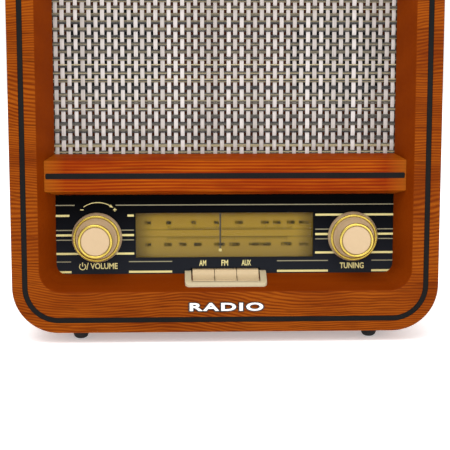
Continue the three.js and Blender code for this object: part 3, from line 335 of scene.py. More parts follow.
def wood_figure(t, given):
    """Growth lines stretched along x: slow noise bends a run of bands across the grain, a finer
    stretched noise breaks them into streaks, and a thresholded one adds short dark pores."""
    place = given["Vector"]
    parts = t.add("SeparateXYZ", links={"Vector": place})
    across = t.math("ADD", parts.outputs["Z"], t.math("MULTIPLY", parts.outputs["Y"], 0.6))
    drift = t.add("TexNoise", {"Scale": 9, "Detail": 1}, {"Vector": t.mapped(place, (0.7, 1, 1.3))})
    ripple = t.add("TexNoise", {"Scale": 42, "Detail": 2}, {"Vector": t.mapped(place, (0.6, 1, 1))})
    swing = t.math("MULTIPLY", drift.outputs["Fac"], given["Bend"])
    small_bend = t.math("MULTIPLY", given["Bend"], 0.12)
    swing = t.math("ADD", swing, t.math("MULTIPLY", ripple.outputs["Fac"], small_bend))
    bands = t.math("SINE", t.math("MULTIPLY", t.math("ADD", across, swing), given["Rings"]))
    bands = t.math("ADD", t.math("MULTIPLY", bands, 0.5), 0.5)
    streak = t.add(
        "TexNoise",
        {"Scale": 34, "Detail": 3, "Roughness": 0.6},
        {"Vector": t.mapped(place, (0.45, 10, 10))},
    )
    patch = t.add("TexNoise", {"Scale": 26, "Detail": 2}, {"Vector": t.mapped(place, (0.8, 1.2, 1.2))})
    figure = t.math("MULTIPLY", bands, t.math("MULTIPLY", given["Ring share"], patch.outputs["Fac"]))
    figure = t.math("ADD", figure, t.math("MULTIPLY", streak.outputs["Fac"], 0.55))
    figure = t.math("ADD", figure, t.math("MULTIPLY", patch.outputs["Fac"], 0.2))
    pores = t.add(
        "TexNoise", {"Scale": 110, "Detail": 2}, {"Vector": t.mapped(place, (0.35, 8, 8))}
    )
    pits = t.add("MapRange", {"From Min": 0.57, "From Max": 0.68}, {"Value": pores.outputs["Fac"]})
    return {"Figure": figure, "Pores": pits.outputs[0]}


def cloudiness(t, given):
    """Slow and quick noise together, for colour and gloss that aren't quite even."""
    slow = t.add("TexNoise", {"Detail": 3}, {"Vector": given["Vector"], "Scale": given["Scale"]})
    quick = t.add(
        "TexNoise", {"Detail": 4, "Roughness": 0.65},
        {"Vector": given["Vector"], "Scale": t.math("MULTIPLY", given["Scale"], 14)},
    )
    slow_part = t.math("MULTIPLY", slow.outputs["Fac"], 0.6)
    quick_part = t.math("MULTIPLY", quick.outputs["Fac"], 0.4)
    return {"Cloud": t.math("ADD", slow_part, quick_part), "Grit": quick.outputs["Fac"]}


FIGURE = group(
    "wood figure",
    [
        ("Vector", "Vector", None),
        ("Rings", "Float", 400.0),
        ("Bend", "Float", 0.05),
        ("Ring share", "Float", 0.3),
    ],
    [("Figure", "Float"), ("Pores", "Float")],
    wood_figure,
)
CLOUD = group(
    "cloudiness",
    [("Vector", "Vector", None), ("Scale", "Float", 20.0)],
    [("Cloud", "Float"), ("Grit", "Float")],
    cloudiness,
)


def new_material(name):
    made = bpy.data.materials.new(name)
    made.use_nodes = True
    t = Tree(made.node_tree)
    shader = made.node_tree.nodes["Principled BSDF"]
    place = t.add("TexCoord").outputs["Object"]
    return made, t, shader, place


def placed(t, tree, **inputs):
    """A group node in this tree, with numbers set and sockets joined."""
    node = t.add("Group", node_tree=tree)
    for label, value in inputs.items():
        label = label.replace("_", " ")
        if isinstance(value, bpy.types.NodeSocket):
            t.tree.links.new(value, node.inputs[label])
        else:
            node.inputs[label].default_value = value
    return node.outputs


def bump(t, shader, height, distance, strength=1.0):
    node = t.add("Bump", {"Strength": strength, "Distance": distance}, {"Height": height})
    t.tree.links.new(node.outputs[0], shader.inputs["Normal"])


PORE_SHADE = 0.45  # a pore's colour, as a share of the darkest grain
PALE_END_COLOUR = (0.34, 0.105, 0.006, 1)
PALE_END_LENGTH = 15 * MM  # how far in from an end the colour turns paler


def walnut(
    name, stops, along="x", rings=2900.0, bend=0.05, share=0.7,
    pores=0.5, rough=0.45, sheen=0.03, ends=None,
):
    """Stained and lacquered veneer, its grain along x or y. With `ends`, the colour turns paler towards
    both ends of a piece that reaches so far from the middle."""
    made, t, shader, place = new_material(name)
    place = t.mapped(place, (1, 1, 1), {"x": (0, 0, 0), "y": (0, 0, math.pi / 2)}[along])
    out = placed(t, FIGURE, Vector=place, Rings=rings, Bend=bend, Ring_share=share)
    colour = t.ramp(out["Figure"], stops)
    pore_colour = (*(c * PORE_SHADE for c in stops[0][1]), 1)
    depth = t.math("MULTIPLY", out["Pores"], pores)
    colour = t.mixed(depth, colour, pore_colour)
    if ends:
        from_middle = t.math("ABSOLUTE", t.add("SeparateXYZ", links={"Vector": place}).outputs["X"])
        # the colour turns paler towards both ends of the piece
        thin = t.add(
            "MapRange",
            {"From Min": ends - PALE_END_LENGTH, "From Max": ends, "To Max": 0.5},
            {"Value": from_middle},
        )
        colour = t.mixed(thin.outputs[0], colour, PALE_END_COLOUR)
    t.tree.links.new(colour, shader.inputs["Base Color"])
    gloss = t.add(
        "MapRange",
        {"From Min": 0.3, "To Min": rough - 0.04, "To Max": rough + 0.08},
        {"Value": out["Figure"]},
    )
    t.tree.links.new(gloss.outputs[0], shader.inputs["Roughness"])
    shader.inputs["Specular IOR Level"].default_value = sheen
    relief = t.math("SUBTRACT", out["Figure"], t.math("MULTIPLY", out["Pores"], 0.6))
    bump(t, shader, relief, 0.0001, 0.3)
    return made


def plastic(name, colour, shade, rough=0.35, grit=0.00002, scale=30.0, metallic=0.0, sheen=0.4):
    """A moulded, painted or plated finish: two close colours, uneven gloss and a fine grit."""
    made, t, shader, place = new_material(name)
    out = placed(t, CLOUD, Vector=place, Scale=scale)
    t.tree.links.new(t.ramp(out["Cloud"], [(0.35, shade), (0.65, colour)]), shader.inputs["Base Color"])
    gloss = t.add("MapRange", {"To Min": rough - 0.06, "To Max": rough + 0.06}, {"Value": out["Grit"]})
    t.tree.links.new(gloss.outputs[0], shader.inputs["Roughness"])
    shader.inputs["Metallic"].default_value = metallic
    shader.inputs["Specular IOR Level"].default_value = sheen
    bump(t, shader, out["Grit"], grit)
    return made


OAKY = [
    (0.3, (0.104, 0.015, 0.0004)),
    (0.48, (0.165, 0.028, 0.0008)),
    (0.75, (0.25, 0.056, 0.0025)),
]
VENEER = walnut("walnut veneer", OAKY)
VENEER_SIDES = walnut("walnut veneer, sides", OAKY, along="y")
STAINED = walnut(
    "walnut, stained bevel",
    [(0.25, (0.14, 0.019, 0.0003)), (0.8, (0.19, 0.03, 0.0005))],
    rings=200.0, share=0.3, pores=0.1, rough=0.45, sheen=0.03,
)
STRAIGHT = walnut(
    "walnut, straight grain",
    [(0.28, (0.14, 0.0105, 0.0002)), (0.5, (0.205, 0.022, 0.0004)), (0.8, (0.31, 0.066, 0.002))],
    rings=2600.0, bend=0.006, share=0.6, pores=0.3, rough=0.45, sheen=0.03, ends=RAIL_REACH,
)
BLACK_STRIP = plastic("black inlay", (0.009, 0.008, 0.008), (0.006, 0.006, 0.006), rough=0.5, sheen=0.05)
BOARD = walnut(
    "stained board", [(0.3, (0.05, 0.014, 0.007)), (0.85, (0.09, 0.027, 0.012))], pores=0.3, rough=0.7
)
CREAM = plastic("cream plastic", (0.49, 0.355, 0.21), (0.46, 0.33, 0.195), rough=0.42, sheen=0.25)
KEY_CREAM = plastic("key cream", (0.5, 0.38, 0.22), (0.47, 0.355, 0.205), rough=0.42, sheen=0.25)
BEZEL_CREAM = plastic("bezel cream", (0.46, 0.385, 0.245), (0.43, 0.36, 0.225), rough=0.45, sheen=0.25)
GILT = plastic("gilt", (0.6, 0.46, 0.1), (0.5, 0.37, 0.07), rough=0.26, metallic=1.0, grit=0.000004)
RUBBER = plastic(
    "rubber", (0.012, 0.012, 0.012), (0.008, 0.008, 0.008), rough=0.75, grit=0.00006, scale=80
)
HARDBOARD = plastic(
    "hardboard", (0.05, 0.03, 0.019), (0.03, 0.018, 0.011), rough=0.8, grit=0.0001, scale=120
)
BLACK_MOULDED = plastic(
    "black moulding", (0.014, 0.014, 0.015), (0.01, 0.01, 0.011), rough=0.5, grit=0.00004
)
WHITE_MOULDED = plastic("white moulding", (0.72, 0.7, 0.65), (0.66, 0.64, 0.59), rough=0.5)
ZINC = plastic("zinc plate", (0.52, 0.52, 0.53), (0.4, 0.4, 0.42), rough=0.38, metallic=1.0, scale=60)
BRASS = plastic(
    "turned brass", (0.62, 0.43, 0.15), (0.52, 0.36, 0.12), rough=0.3, metallic=1.0, scale=60
)
BLACKED = plastic(
    "blacked steel", (0.035, 0.035, 0.037), (0.025, 0.025, 0.027), rough=0.42, metallic=0.6
)
CIRCUIT = plastic("circuit board", (0.02, 0.13, 0.05), (0.012, 0.09, 0.035), rough=0.4, scale=200)
FERRITE = plastic("ferrite", (0.05, 0.05, 0.053), (0.03, 0.03, 0.032), rough=0.6, scale=90)
WINDING = plastic(
    "copper winding", (0.42, 0.15, 0.05), (0.34, 0.11, 0.035), rough=0.35, metallic=0.8, scale=300
)
ALLOY = plastic("extruded alloy", (0.6, 0.6, 0.62), (0.5, 0.5, 0.52), rough=0.4, metallic=1.0)
PAPER = plastic(
    "pressed paper", (0.016, 0.016, 0.016), (0.01, 0.01, 0.01), rough=0.85, grit=0.0001, scale=200
)
THREAD = plastic("braided thread", (0.6, 0.55, 0.43), (0.48, 0.44, 0.34), rough=0.8, scale=400)
POINTER = plastic("pointer", (0.035, 0.032, 0.024), (0.025, 0.022, 0.017), rough=0.4)
PRINT_PALE = plastic("pale gold print", (0.66, 0.58, 0.25), (0.6, 0.52, 0.22), rough=0.5, sheen=0.2)
PRINT_DULL = plastic("dull gold print", (0.27, 0.245, 0.15), (0.23, 0.21, 0.13), rough=0.5, sheen=0.2)
PRINT_DARK = plastic("dark print", (0.012, 0.009, 0.004), (0.008, 0.006, 0.003), rough=0.6, sheen=0.05)
BRIGHT = plastic("bright letters", (0.85, 0.85, 0.84), (0.78, 0.78, 0.77), rough=0.3)
LETTER_EDGE = plastic("letter edge", (0.02, 0.02, 0.02), (0.014, 0.014, 0.014), rough=0.4)


def strip_material():
    """Off-white flat strip with fine lengthwise fibres, each strip a little different."""
    made, t, shader, place = new_material("off-white strip")
    fibre = t.add("TexNoise", {"Scale": 900, "Detail": 3}, {"Vector": t.mapped(place, (1, 1, 0.06))})
    own = t.add("Attribute", attribute_name="tint")
    fibre_part = t.math("MULTIPLY", fibre.outputs["Fac"], 0.6)
    own_part = t.math("MULTIPLY", own.outputs["Fac"], 0.4)
    tone = t.math("ADD", fibre_part, own_part)
    colour = t.ramp(tone, [(0.25, (0.35, 0.31, 0.285)), (0.7, (0.53, 0.485, 0.465))])
    t.tree.links.new(colour, shader.inputs["Base Color"])
    shader.inputs["Roughness"].default_value = 0.6
    shader.inputs["Specular IOR Level"].default_value = 0.2
    bump(t, shader, fibre.outputs["Fac"], 0.00008)
    return made


def thread_material():
    """Spun thread in charcoal, olive and straw, twisted along x."""
    made, t, shader, place = new_material("spun thread")
    twist = t.add(
        "TexWave", {"Scale": 420, "Distortion": 1.5, "Detail": 1},
        {"Vector": t.mapped(place, (1, 0.5, 0.5), (0, 0.7, 0))},
    )
    own = t.add("Attribute", attribute_name="tint")
    colour = t.ramp(
        own.outputs["Fac"],
        [
            (0.0, (0.04, 0.04, 0.042)),
            (0.35, (0.1, 0.095, 0.085)),
            (0.6, (0.24, 0.2, 0.13)),
            (1.0, (0.5, 0.42, 0.25)),
        ],
    )
    colour = t.mixed(0.35, colour, twist.outputs["Color"], "MULTIPLY")
    t.tree.links.new(colour, shader.inputs["Base Color"])
    shader.inputs["Roughness"].default_value = 0.85
    shader.inputs["Specular IOR Level"].default_value = 0.15
    bump(t, shader, twist.outputs["Fac"], 0.0001)
    return made


def scale_material():
    """Amber plate in painted light: what it emits stands in for the light falling on it, brightest above
    its middle, with painted shade that turns it brown at its top and dimmer towards both ends, and
    greyer below. The plate's own colour is half of the colour it emits."""
    made, t, shader, place = new_material("amber scale")
    low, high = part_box("dial_scale_plate")
    parts = t.add("SeparateXYZ", links={"Vector": place})
    up = t.add("MapRange", {"From Min": low.z, "From Max": high.z}, {"Value": parts.outputs["Z"]})
    # painted shade: the plate dims towards both ends
    end = t.add(
        "MapRange",
        {"From Min": high.x - 16 * MM, "From Max": high.x - 3 * MM, "To Min": 1.0, "To Max": 0.42},
        {"Value": t.math("ABSOLUTE", parts.outputs["X"])},
    )
    out = placed(t, CLOUD, Vector=place, Scale=25.0)
    uneven = t.math("MULTIPLY", t.math("SUBTRACT", out["Cloud"], 0.5), 0.06)
    # painted light up the plate: brown painted shade at the top, brightest above the middle, greyer
    # below
    colour = t.ramp(
        t.math("ADD", up.outputs[0], uneven),
        [
            (0.06, (0.24, 0.165, 0.035)),
            (0.3, (0.27, 0.18, 0.024)),
            (0.6, (0.3, 0.195, 0.015)),
            (0.82, (0.26, 0.165, 0.009)),
            (0.91, (0.1, 0.052, 0.001)),
        ],
    )
    # painted light: the plate is no lamp, its emission stands in for studio light reaching it through
    # the glass
    painted_light = t.mixed(1.0, colour, end.outputs[0], "MULTIPLY")
    t.tree.links.new(t.mixed(0.5, painted_light, (0, 0, 0, 1)), shader.inputs["Base Color"])
    t.tree.links.new(painted_light, shader.inputs["Emission Color"])
    shader.inputs["Emission Strength"].default_value = 0.62
    shader.inputs["Roughness"].default_value = 0.5
    shader.inputs["Specular IOR Level"].default_value = 0.1
    return made


def glass_material():
    """Clear smooth glass, very slightly warm, its tint not quite even."""
    made, t, shader, place = new_material("dial glass")
    out = placed(t, CLOUD, Vector=place, Scale=20.0)
    tint = t.ramp(out["Cloud"], [(0, (0.98, 0.96, 0.9)), (1, (1, 0.98, 0.93))])
    t.tree.links.new(tint, shader.inputs["Base Color"])
    shader.inputs["Roughness"].default_value = 0.0
    shader.inputs["IOR"].default_value = 1.15
    shader.inputs["Transmission Weight"].default_value = 1.0
    shader.inputs["Specular IOR Level"].default_value = 0.3
    return made


def panel_material():
    """Satin black with a painted reflection of the pale floor in front, which pales it to slate down the
    panel.
    """
    made, t, shader, place = new_material("black panel")
    low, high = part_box("dial_panel")
    parts = t.add("SeparateXYZ", links={"Vector": place})
    up = t.add("MapRange", {"From Min": low.z, "From Max": high.z}, {"Value": parts.outputs["Z"]})
    out = placed(t, CLOUD, Vector=place, Scale=18.0)
    painted_reflection = t.math("ADD", up.outputs[0], t.math("MULTIPLY", out["Cloud"], 0.06))
    # painted reflection: slate low on the panel, near black at its top
    colour = t.ramp(
        painted_reflection,
        [
            (0.0, (0.015, 0.017, 0.022)),
            (0.45, (0.006, 0.0065, 0.009)),
            (0.8, (0.0005, 0.0005, 0.0006)),
        ],
    )
    t.tree.links.new(colour, shader.inputs["Base Color"])
    gloss = t.add("MapRange", {"To Min": 0.3, "To Max": 0.4}, {"Value": out["Grit"]})
    t.tree.links.new(gloss.outputs[0], shader.inputs["Roughness"])
    shader.inputs["Specular IOR Level"].default_value = 0.015
    return made


BLACK_PANEL = panel_material()
STRIP = strip_material()
SPUN = thread_material()
SCALE = scale_material()
GLASS = glass_material()

# ---------- cabinet ----------


def front_frame():
    """Front board: a profile carried round the cabinet, with a groove for the inlay and a
    bevel from the flat band down to the panel."""
    groove = INLAY_INSET - GROOVE_CLEAR
    land = INLAY_INSET + INLAY_WIDTH + GROOVE_CLEAR
    corners = [
        (0, 0, CORNER, FRAME_DEPTH),
        (0, 0, CORNER, 0),
        (groove, groove, CORNER - groove, 0),
        (groove, groove, CORNER - groove, GROOVE_DEPTH),
        (land, land, CORNER - land, GROOVE_DEPTH),
        (land, land, CORNER - land, 0),
        (SIDE_BAND, BOTTOM_BAND, OPENING_CORNER, 0),
        (SIDE_BAND + BEVEL, BOTTOM_BAND + BOTTOM_BEVEL, PANEL_CORNER, FRAME_DEPTH),
    ]
    ease = [0.1, 1.6, 0.25, 0.1, 0.1, 0.25, 1.1, 0.1]
    steps = 6
    profile = eased(corners, ease, steps)
    solid = ring(profile)
    # The bevel is the run of faces from the middle of its upper corner to its lower one.
    column = np.arange(len(solid[1])) % len(profile)
    upper, lower = len(corners) - 2, len(corners) - 1
    first = upper * (steps + 1) + steps // 2
    bevel = (column >= first) & (column < lower * (steps + 1))
    made = piece("front_frame_wood", solid, "cabinet", [VENEER, STAINED], bevel)
    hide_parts("front_frame")


def shell():
    """Wrapped cabinet: the same outline carried back, with a rounded rear edge."""
    corners = [
        (0, 0, CORNER, SHELL_FRONT),
        (0, 0, CORNER, SHELL_REAR),
        (WALL, WALL, CORNER - WALL, SHELL_REAR),
        (WALL, WALL, CORNER - WALL, SHELL_FRONT),
    ]
    solid = ring(eased(corners, [0.35, 2.2, 0.8, 0.2], 6))
    made = piece("cabinet_shell_wood", solid, "cabinet", VENEER_SIDES)
    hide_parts("cabinet_shell")


def screw_posts():
    """A block in each corner of the cabinet that a rear screw goes into."""
    posts = []
    rear = span("rear_cover")[0][1] - POST_GAP
    for corner in ("top_left", "top_right", "bottom_left", "bottom_right"):
        x, _, z = middle(f"rear_screw_{corner}")
        low, high = (z - POST_HALF, TALL - WALL) if z > TALL / 2 else (WALL, z + POST_HALF)
        left, right = (x - POST_HALF, HALF - WALL) if x > 0 else (WALL - HALF, x + POST_HALF)
        square = [(rear - POST_LENGTH, low), (rear - POST_LENGTH, high), (rear, high), (rear, low)]
        posts.append(bar(eased(square, 0.8, 2), left, right, 0.6, 2))
    piece("screw_posts", joined(*posts), "cabinet", BOARD)


def frame_inlay():
    """Black strip let into the front board, its face slightly crowned and proud at its middle."""
    near = INLAY_INSET + INLAY_CLEAR
    far = INLAY_INSET + INLAY_WIDTH - INLAY_CLEAR
    mid = (near + far) / 2
    corners = [
        (near, near, CORNER - near, INLAY_DEPTH),
        (near, near, CORNER - near, INLAY_CLEAR),
        (mid, mid, CORNER - mid, -INLAY_CROWN),
        (far, far, CORNER - far, INLAY_CLEAR),
        (far, far, CORNER - far, INLAY_DEPTH),
    ]
    solid = ring(eased(corners, [0.1, 0.3, 1.0, 0.3, 0.1], 3))
    made = piece("frame_inlay_strip", solid, "cabinet", BLACK_STRIP)
    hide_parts("frame_inlay")


def opening_half(y):
    """Half the opening's width at a depth behind the front face."""
    return HALF - SIDE_BAND - BEVEL * y / FRAME_DEPTH


def centre_rail():
    """Rail of trapezium section, its ends cut to the bevel: x is the bevel's half-width at
    each point's depth, times a run from -1 to 1."""
    section = eased(
        [
            (RAIL_FRONT_Y, RAIL_MIDDLE - RAIL_HALF_FRONT),
            (FRAME_DEPTH, RAIL_MIDDLE - RAIL_HALF_REAR),
            (FRAME_DEPTH, RAIL_MIDDLE + RAIL_HALF_REAR),
            (RAIL_FRONT_Y, RAIL_MIDDLE + RAIL_HALF_FRONT),
        ],
        [0.9, 0.2, 0.2, 0.9],
    )
    run = np.linspace(-1, 1, 9)[:, None]
    x = run * (opening_half(section[:, 0]) - RAIL_CLEAR)
    yz = np.broadcast_to(section, (len(run), *section.shape))
    points = np.concatenate([x[..., None], yz], -1)
    centre = (RAIL_FRONT_Y + RAIL_END_POINT, RAIL_MIDDLE)
    ends = [np.full_like(row, (row[:, 0].mean(), *centre))[None] for row in points[[0, -1]]]
    points = np.concatenate([ends[0], points, ends[1]])
    solid = points.reshape(-1, 3), grid_faces(*points.shape[:2], False, True)
    made = piece("centre_rail_wood", solid, "cabinet", STRAIGHT)
    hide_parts("centre_rail")


def rail_inlay():
    """Black strip along the rail: a low crown across its height, swept along x, and drawn in
    over a quarter circle at each end."""
    rear = RAIL_FRONT_Y + RAIL_INLAY_DEPTH
    half, reach = RAIL_INLAY / 2, opening_half(rear) - 2 * RAIL_CLEAR
    a = np.linspace(0, math.pi / 2, 7)
    along = np.concatenate([-reach + (1 - np.cos(a)), reach - (1 - np.cos(a[::-1]))])
    tall = half - 1 + np.concatenate([np.sin(a), np.sin(a[::-1])])
    across = np.linspace(-1, 1, 9)
    x = np.broadcast_to(along[:, None], (len(along), len(across)))
    z = RAIL_MIDDLE + tall[:, None] * across
    crown = RAIL_FRONT_Y - RAIL_INLAY_CROWN * np.broadcast_to(1 - across**2, z.shape)
    upper = np.stack([x, crown, z], -1)
    lower = np.stack([x, np.full_like(z, rear), z], -1)
    made = piece("rail_inlay_strip", between(upper, lower), "cabinet", BLACK_STRIP)
    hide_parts("rail_inlay")


# ---------- woven grille ----------

STRIP_PITCH = 4.84
STRIP_WIDTH = 2.9
STRIP_THICK = 0.35
BAR_PITCH = 5.25
THREADS = 3  # in a bar
THREAD_STEP = 0.95
THREAD_R = 0.42
SWING = 0.3  # how far a strand goes to either side of the weave's middle
SQUARENESS = 2.4
WEAVE_MARGIN = 0.3  # from a strand's end to the edge of the grille
STRIP_SAMPLES = [-0.36, -0.2, 0.2, 0.36]  # about a crossing, in shares of the pitch
THREAD_SAMPLES = [-0.28, 0.28]
STRIP_SIDES = np.array([(-1, 0), (-0.72, -1), (0.72, -1), (1, 0), (0.72, 1), (-0.72, 1)])
THREAD_SIDES = 5
WEAVE_FORWARD = 0.1  # ahead of the middle of the cloth's thickness
FIRST_BAR = 2.5  # above the lower edge
STRIP_SWAY, SWAY_LENGTH = 0.08, 17  # a slow wander to either side
THREAD_SLACK, SLACK_LENGTH = 0.06, 9


def square_wave(angle):
    """A cosine pushed towards a square wave."""
    return np.tanh(SQUARENESS * np.cos(angle)) / math.tanh(SQUARENESS)


def stations(first, pitch, count, offsets, low, high):
    """Where a strand is sampled: its two ends, and set offsets about each crossing."""
    at_crossings = first + pitch * (np.arange(count)[:, None] + offsets)
    return np.concatenate([[low], at_crossings.ravel(), [high]])


def grille():
    """Plain weave of flat upright strips and bars of three threads. Where strip i crosses bar j
    the strip lies behind if i + j is even, and each follows a soft square wave between."""
    rng = np.random.default_rng(5)
    low, high = span("grille_cloth")
    depth = (low[1] + high[1]) / 2 - WEAVE_FORWARD
    columns = int((high[0] - low[0] - 2) / STRIP_PITCH)
    bars = int((high[2] - low[2] - 2) / BAR_PITCH)
    x0 = -STRIP_PITCH * (columns - 1) / 2
    z0 = low[2] + FIRST_BAR

    # strips: (strip, height, section)
    flat_x = STRIP_SIDES[:, 0] * STRIP_WIDTH / 2
    flat_y = STRIP_SIDES[:, 1] * STRIP_THICK / 2
    ends = low[2] + WEAVE_MARGIN, high[2] - WEAVE_MARGIN
    z = stations(z0, BAR_PITCH, bars, STRIP_SAMPLES, *ends)
    i = np.arange(columns)
    sway = STRIP_SWAY * np.sin(z[None] / SWAY_LENGTH + rng.uniform(0, 6, (columns, 1)))
    centre = x0 + i[:, None] * STRIP_PITCH + rng.normal(0, 0.06, (columns, 1)) + sway
    wave = square_wave(math.pi * (z - z0) / BAR_PITCH)[None] * (1 - 2 * (i % 2))[:, None]
    width = rng.normal(1, 0.03, (columns, 1, 1))
    x = centre[..., None] + flat_x * width
    y = depth + SWING * wave[..., None] + flat_y
    points = np.stack([x, y, np.broadcast_to(z[None, :, None], x.shape)], -1)
    strips = [tube_solid(row) for row in points]
    shades = rng.uniform(0, 1, columns)

    # threads: (thread, run, section)
    a = 2 * math.pi * (np.arange(THREAD_SIDES) + 0.5) / THREAD_SIDES
    ends = low[0] + WEAVE_MARGIN, high[0] - WEAVE_MARGIN
    x = stations(x0, STRIP_PITCH, columns, THREAD_SAMPLES, *ends)
    j = np.repeat(np.arange(bars), THREADS)
    k = np.tile(np.arange(THREADS), bars) - (THREADS - 1) / 2
    slack = THREAD_SLACK * np.sin(x[None] / SLACK_LENGTH + rng.uniform(0, 6, (len(j), 1)))
    centre = z0 + (j * BAR_PITCH + k * THREAD_STEP)[:, None] + slack
    centre = centre + rng.normal(0, 0.05, (len(j), 1))
    wave = square_wave(math.pi * (x - x0) / STRIP_PITCH)[None] * (1 - 2 * (j % 2))[:, None]
    girth = THREAD_R * rng.normal(1, 0.05, (len(j), 1, 1))
    y = depth - SWING * wave[..., None] + girth * 0.75 * np.cos(a)
    z = centre[..., None] + girth * np.sin(a)
    points = np.stack([np.broadcast_to(x[None, :, None], y.shape), y, z], -1)
    threads = [tube_solid(row) for row in points]
    shades = np.concatenate([shades, rng.beta(0.9, 1.3, len(j))])

    tints = [np.full(len(s[0]), shade) for s, shade in zip(strips + threads, shades)]
    kinds = [np.full(len(s[1]), kind) for kind, row in ((0, strips), (1, threads)) for s in row]
    cloth = piece(
        "grille_weave",
        joined(*strips, *threads),
        "cabinet",
        [STRIP, SPUN],
        np.concatenate(kinds),
        attribute=("tint", np.concatenate(tints)),
    )
    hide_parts("grille_cloth")


def tube_solid(rows):
    """A tube through sections of points, closed by a point at the middle of each end."""
    ends = [np.broadcast_to(rows[k].mean(0), rows[k].shape)[None] for k in (0, -1)]
    points = np.concatenate([ends[0], rows, ends[1]])
    return points.reshape(-1, 3), grid_faces(*points.shape[:2], False, True)


# ---------- panel print ----------

PANEL_HALF = 125.8
THICK_LINE = 1.6
THIN_LINE = 0.75
# height, thickness, and the stretches from left to right
LINES = [
    (91.4, THIN_LINE, [(-PANEL_HALF, -111.5), (-81.3, PANEL_HALF)]),
    (83.6, THICK_LINE, [(-PANEL_HALF, -115.5), (-72.6, -67.9), (67.2, PANEL_HALF)]),
    (72.7, THIN_LINE, [(-PANEL_HALF, -67.9), (67.2, PANEL_HALF)]),
    (69.0, THICK_LINE, [(-PANEL_HALF, -67.9), (67.2, PANEL_HALF)]),
    (65.4, THIN_LINE, [(-PANEL_HALF, -67.9), (67.2, PANEL_HALF)]),
    (55.1, THICK_LINE, [(-PANEL_HALF, -67.9), (67.2, PANEL_HALF)]),
    (49.0, THIN_LINE, [(-PANEL_HALF, -114.8), (-71.9, -39.7), (38.7, 77.0), (109.7, PANEL_HALF)]),
    (41.3, THICK_LINE, [(-PANEL_HALF, -114.6), (-71.9, -39.7), (38.7, 77.0), (109.6, PANEL_HALF)]),
]
PRINT_FRONT, PRINT_REAR = PANEL_Y - PRINT, PANEL_Y + PRINT_SUNK


def panel_lines(name, thickness, paint):
    """All the panel's lines of one thickness, as one piece."""
    solids = [
        plate(x0, x1, z - t / 2, z + t / 2, PRINT_FRONT, PRINT_REAR)
        for z, t, stretches in LINES
        if t == thickness
        for x0, x1 in stretches
    ]
    piece(name, joined(*solids), "cabinet", paint)


def arc_ribbon(x, z, radius, width, start, stop, front, rear, steps=40):
    """A flat band along a circle about (x, z), from angle start to stop in degrees."""
    a = np.radians(np.linspace(start, stop, steps))[:, None]
    r = radius + width * np.array([-0.5, 0.5])
    flat = np.stack([x + r * np.cos(a), np.zeros((steps, 2)), z + r * np.sin(a)], -1)
    return between(flat + [0, front, 0], flat + [0, rear, 0])


def wedge(tip, base_a, base_b, front, rear):
    """A flat triangle."""
    flat = np.array([[tip, tip], [base_a, base_b]], float)
    sheet = np.stack([flat[..., 0], np.zeros((2, 2)), flat[..., 1]], -1)
    return between(sheet + [0, front, 0], sheet + [0, rear, 0])


def words(text, x, z, tall, wide, front, rear, spacing=1.0, weight=0.02):
    """Letters cut from the built-in face, fitted to a height and a width about (x, z)."""
    curve = bpy.data.curves.new("letters", "FONT")
    curve.body = text
    curve.extrude = 0.5
    curve.offset = weight
    curve.resolution_u = 4
    curve.space_character = spacing
    holder = bpy.data.objects.new("letters", curve)
    mesh = bpy.data.meshes.new_from_object(holder)
    mesh.calc_loop_triangles()
    co = np.empty(len(mesh.vertices) * 3)
    mesh.vertices.foreach_get("co", co)
    co = co.reshape(-1, 3)
    tri = np.empty(len(mesh.loop_triangles) * 3, np.int32)
    mesh.loop_triangles.foreach_get("vertices", tri)
    tri = tri.reshape(-1, 3)
    bpy.data.objects.remove(holder)
    bpy.data.meshes.remove(mesh)
    bpy.data.curves.remove(curve)
    low, high = co.min(0), co.max(0)
    across, up, depth = ((co - (low + high) / 2) / (high - low)).T
    y = (front + rear) / 2 - (rear - front) * depth
    points = np.stack([x + wide * across, y, z + tall * up], -1)
    return points, np.concatenate([tri, tri[:, 2:]], axis=1)


# text, middle x and z, height, width
PANEL_WORDS = [
    ("VOLUME", -90.4, 45.8, 4.5, 20.2),
    ("TUNING", 94.9, 45.2, 4.5, 18.0),
    ("AM", -16.9, 47.7, 4.4, 5.2),
    ("FM", -0.4, 47.7, 4.4, 5.0),
    ("AUX", 15.7, 47.7, 4.4, 7.0),
    ("+", -81.9, 88.0, 2.6, 2.6),
    ("-", -106.2, 88.0, 0.7, 2.4),
    ("/", -102.7, 45.7, 5.2, 1.9),
]
ARC_X, ARC_Z, ARC_R = -94.4, 75.0, 18.4
ARC_WIDTH = 0.55
ARC_START, ARC_STOP = 125, 60  # degrees
ARROW_HALF = 1.1
SWITCH_X, SWITCH_Z, SWITCH_R = -106.3, 45.4, 2.3
SWITCH_WIDTH = 0.65


def on_arc(radius, degrees):
    """A point (x, z) on a circle about the volume arc's centre."""
    a = math.radians(degrees)
    return ARC_X + radius * math.cos(a), ARC_Z + radius * math.sin(a)


def panel_marks():
    """Names of the controls, the arc over the volume knob and the switch sign below it."""
    ends = PRINT_FRONT, PRINT_REAR
    tip = on_arc(ARC_R, ARC_STOP - 8)
    foot_in, foot_out = (on_arc(ARC_R + way * ARROW_HALF, ARC_STOP + 1) for way in (-1, 1))
    solids = [words(*row, *ends) for row in PANEL_WORDS]
    solids += [
        arc_ribbon(ARC_X, ARC_Z, ARC_R, ARC_WIDTH, ARC_START, ARC_STOP, *ends),
        wedge(tip, foot_in, foot_out, *ends),
        arc_ribbon(SWITCH_X, SWITCH_Z, SWITCH_R, SWITCH_WIDTH, -235, 55, *ends),
        plate(SWITCH_X - 0.32, SWITCH_X + 0.32, SWITCH_Z + 0.1, SWITCH_Z + 3.2, *ends),
    ]
    piece("panel_lettering", joined(*solids), "cabinet", PRINT_PALE)


# ---------- tuning scale ----------

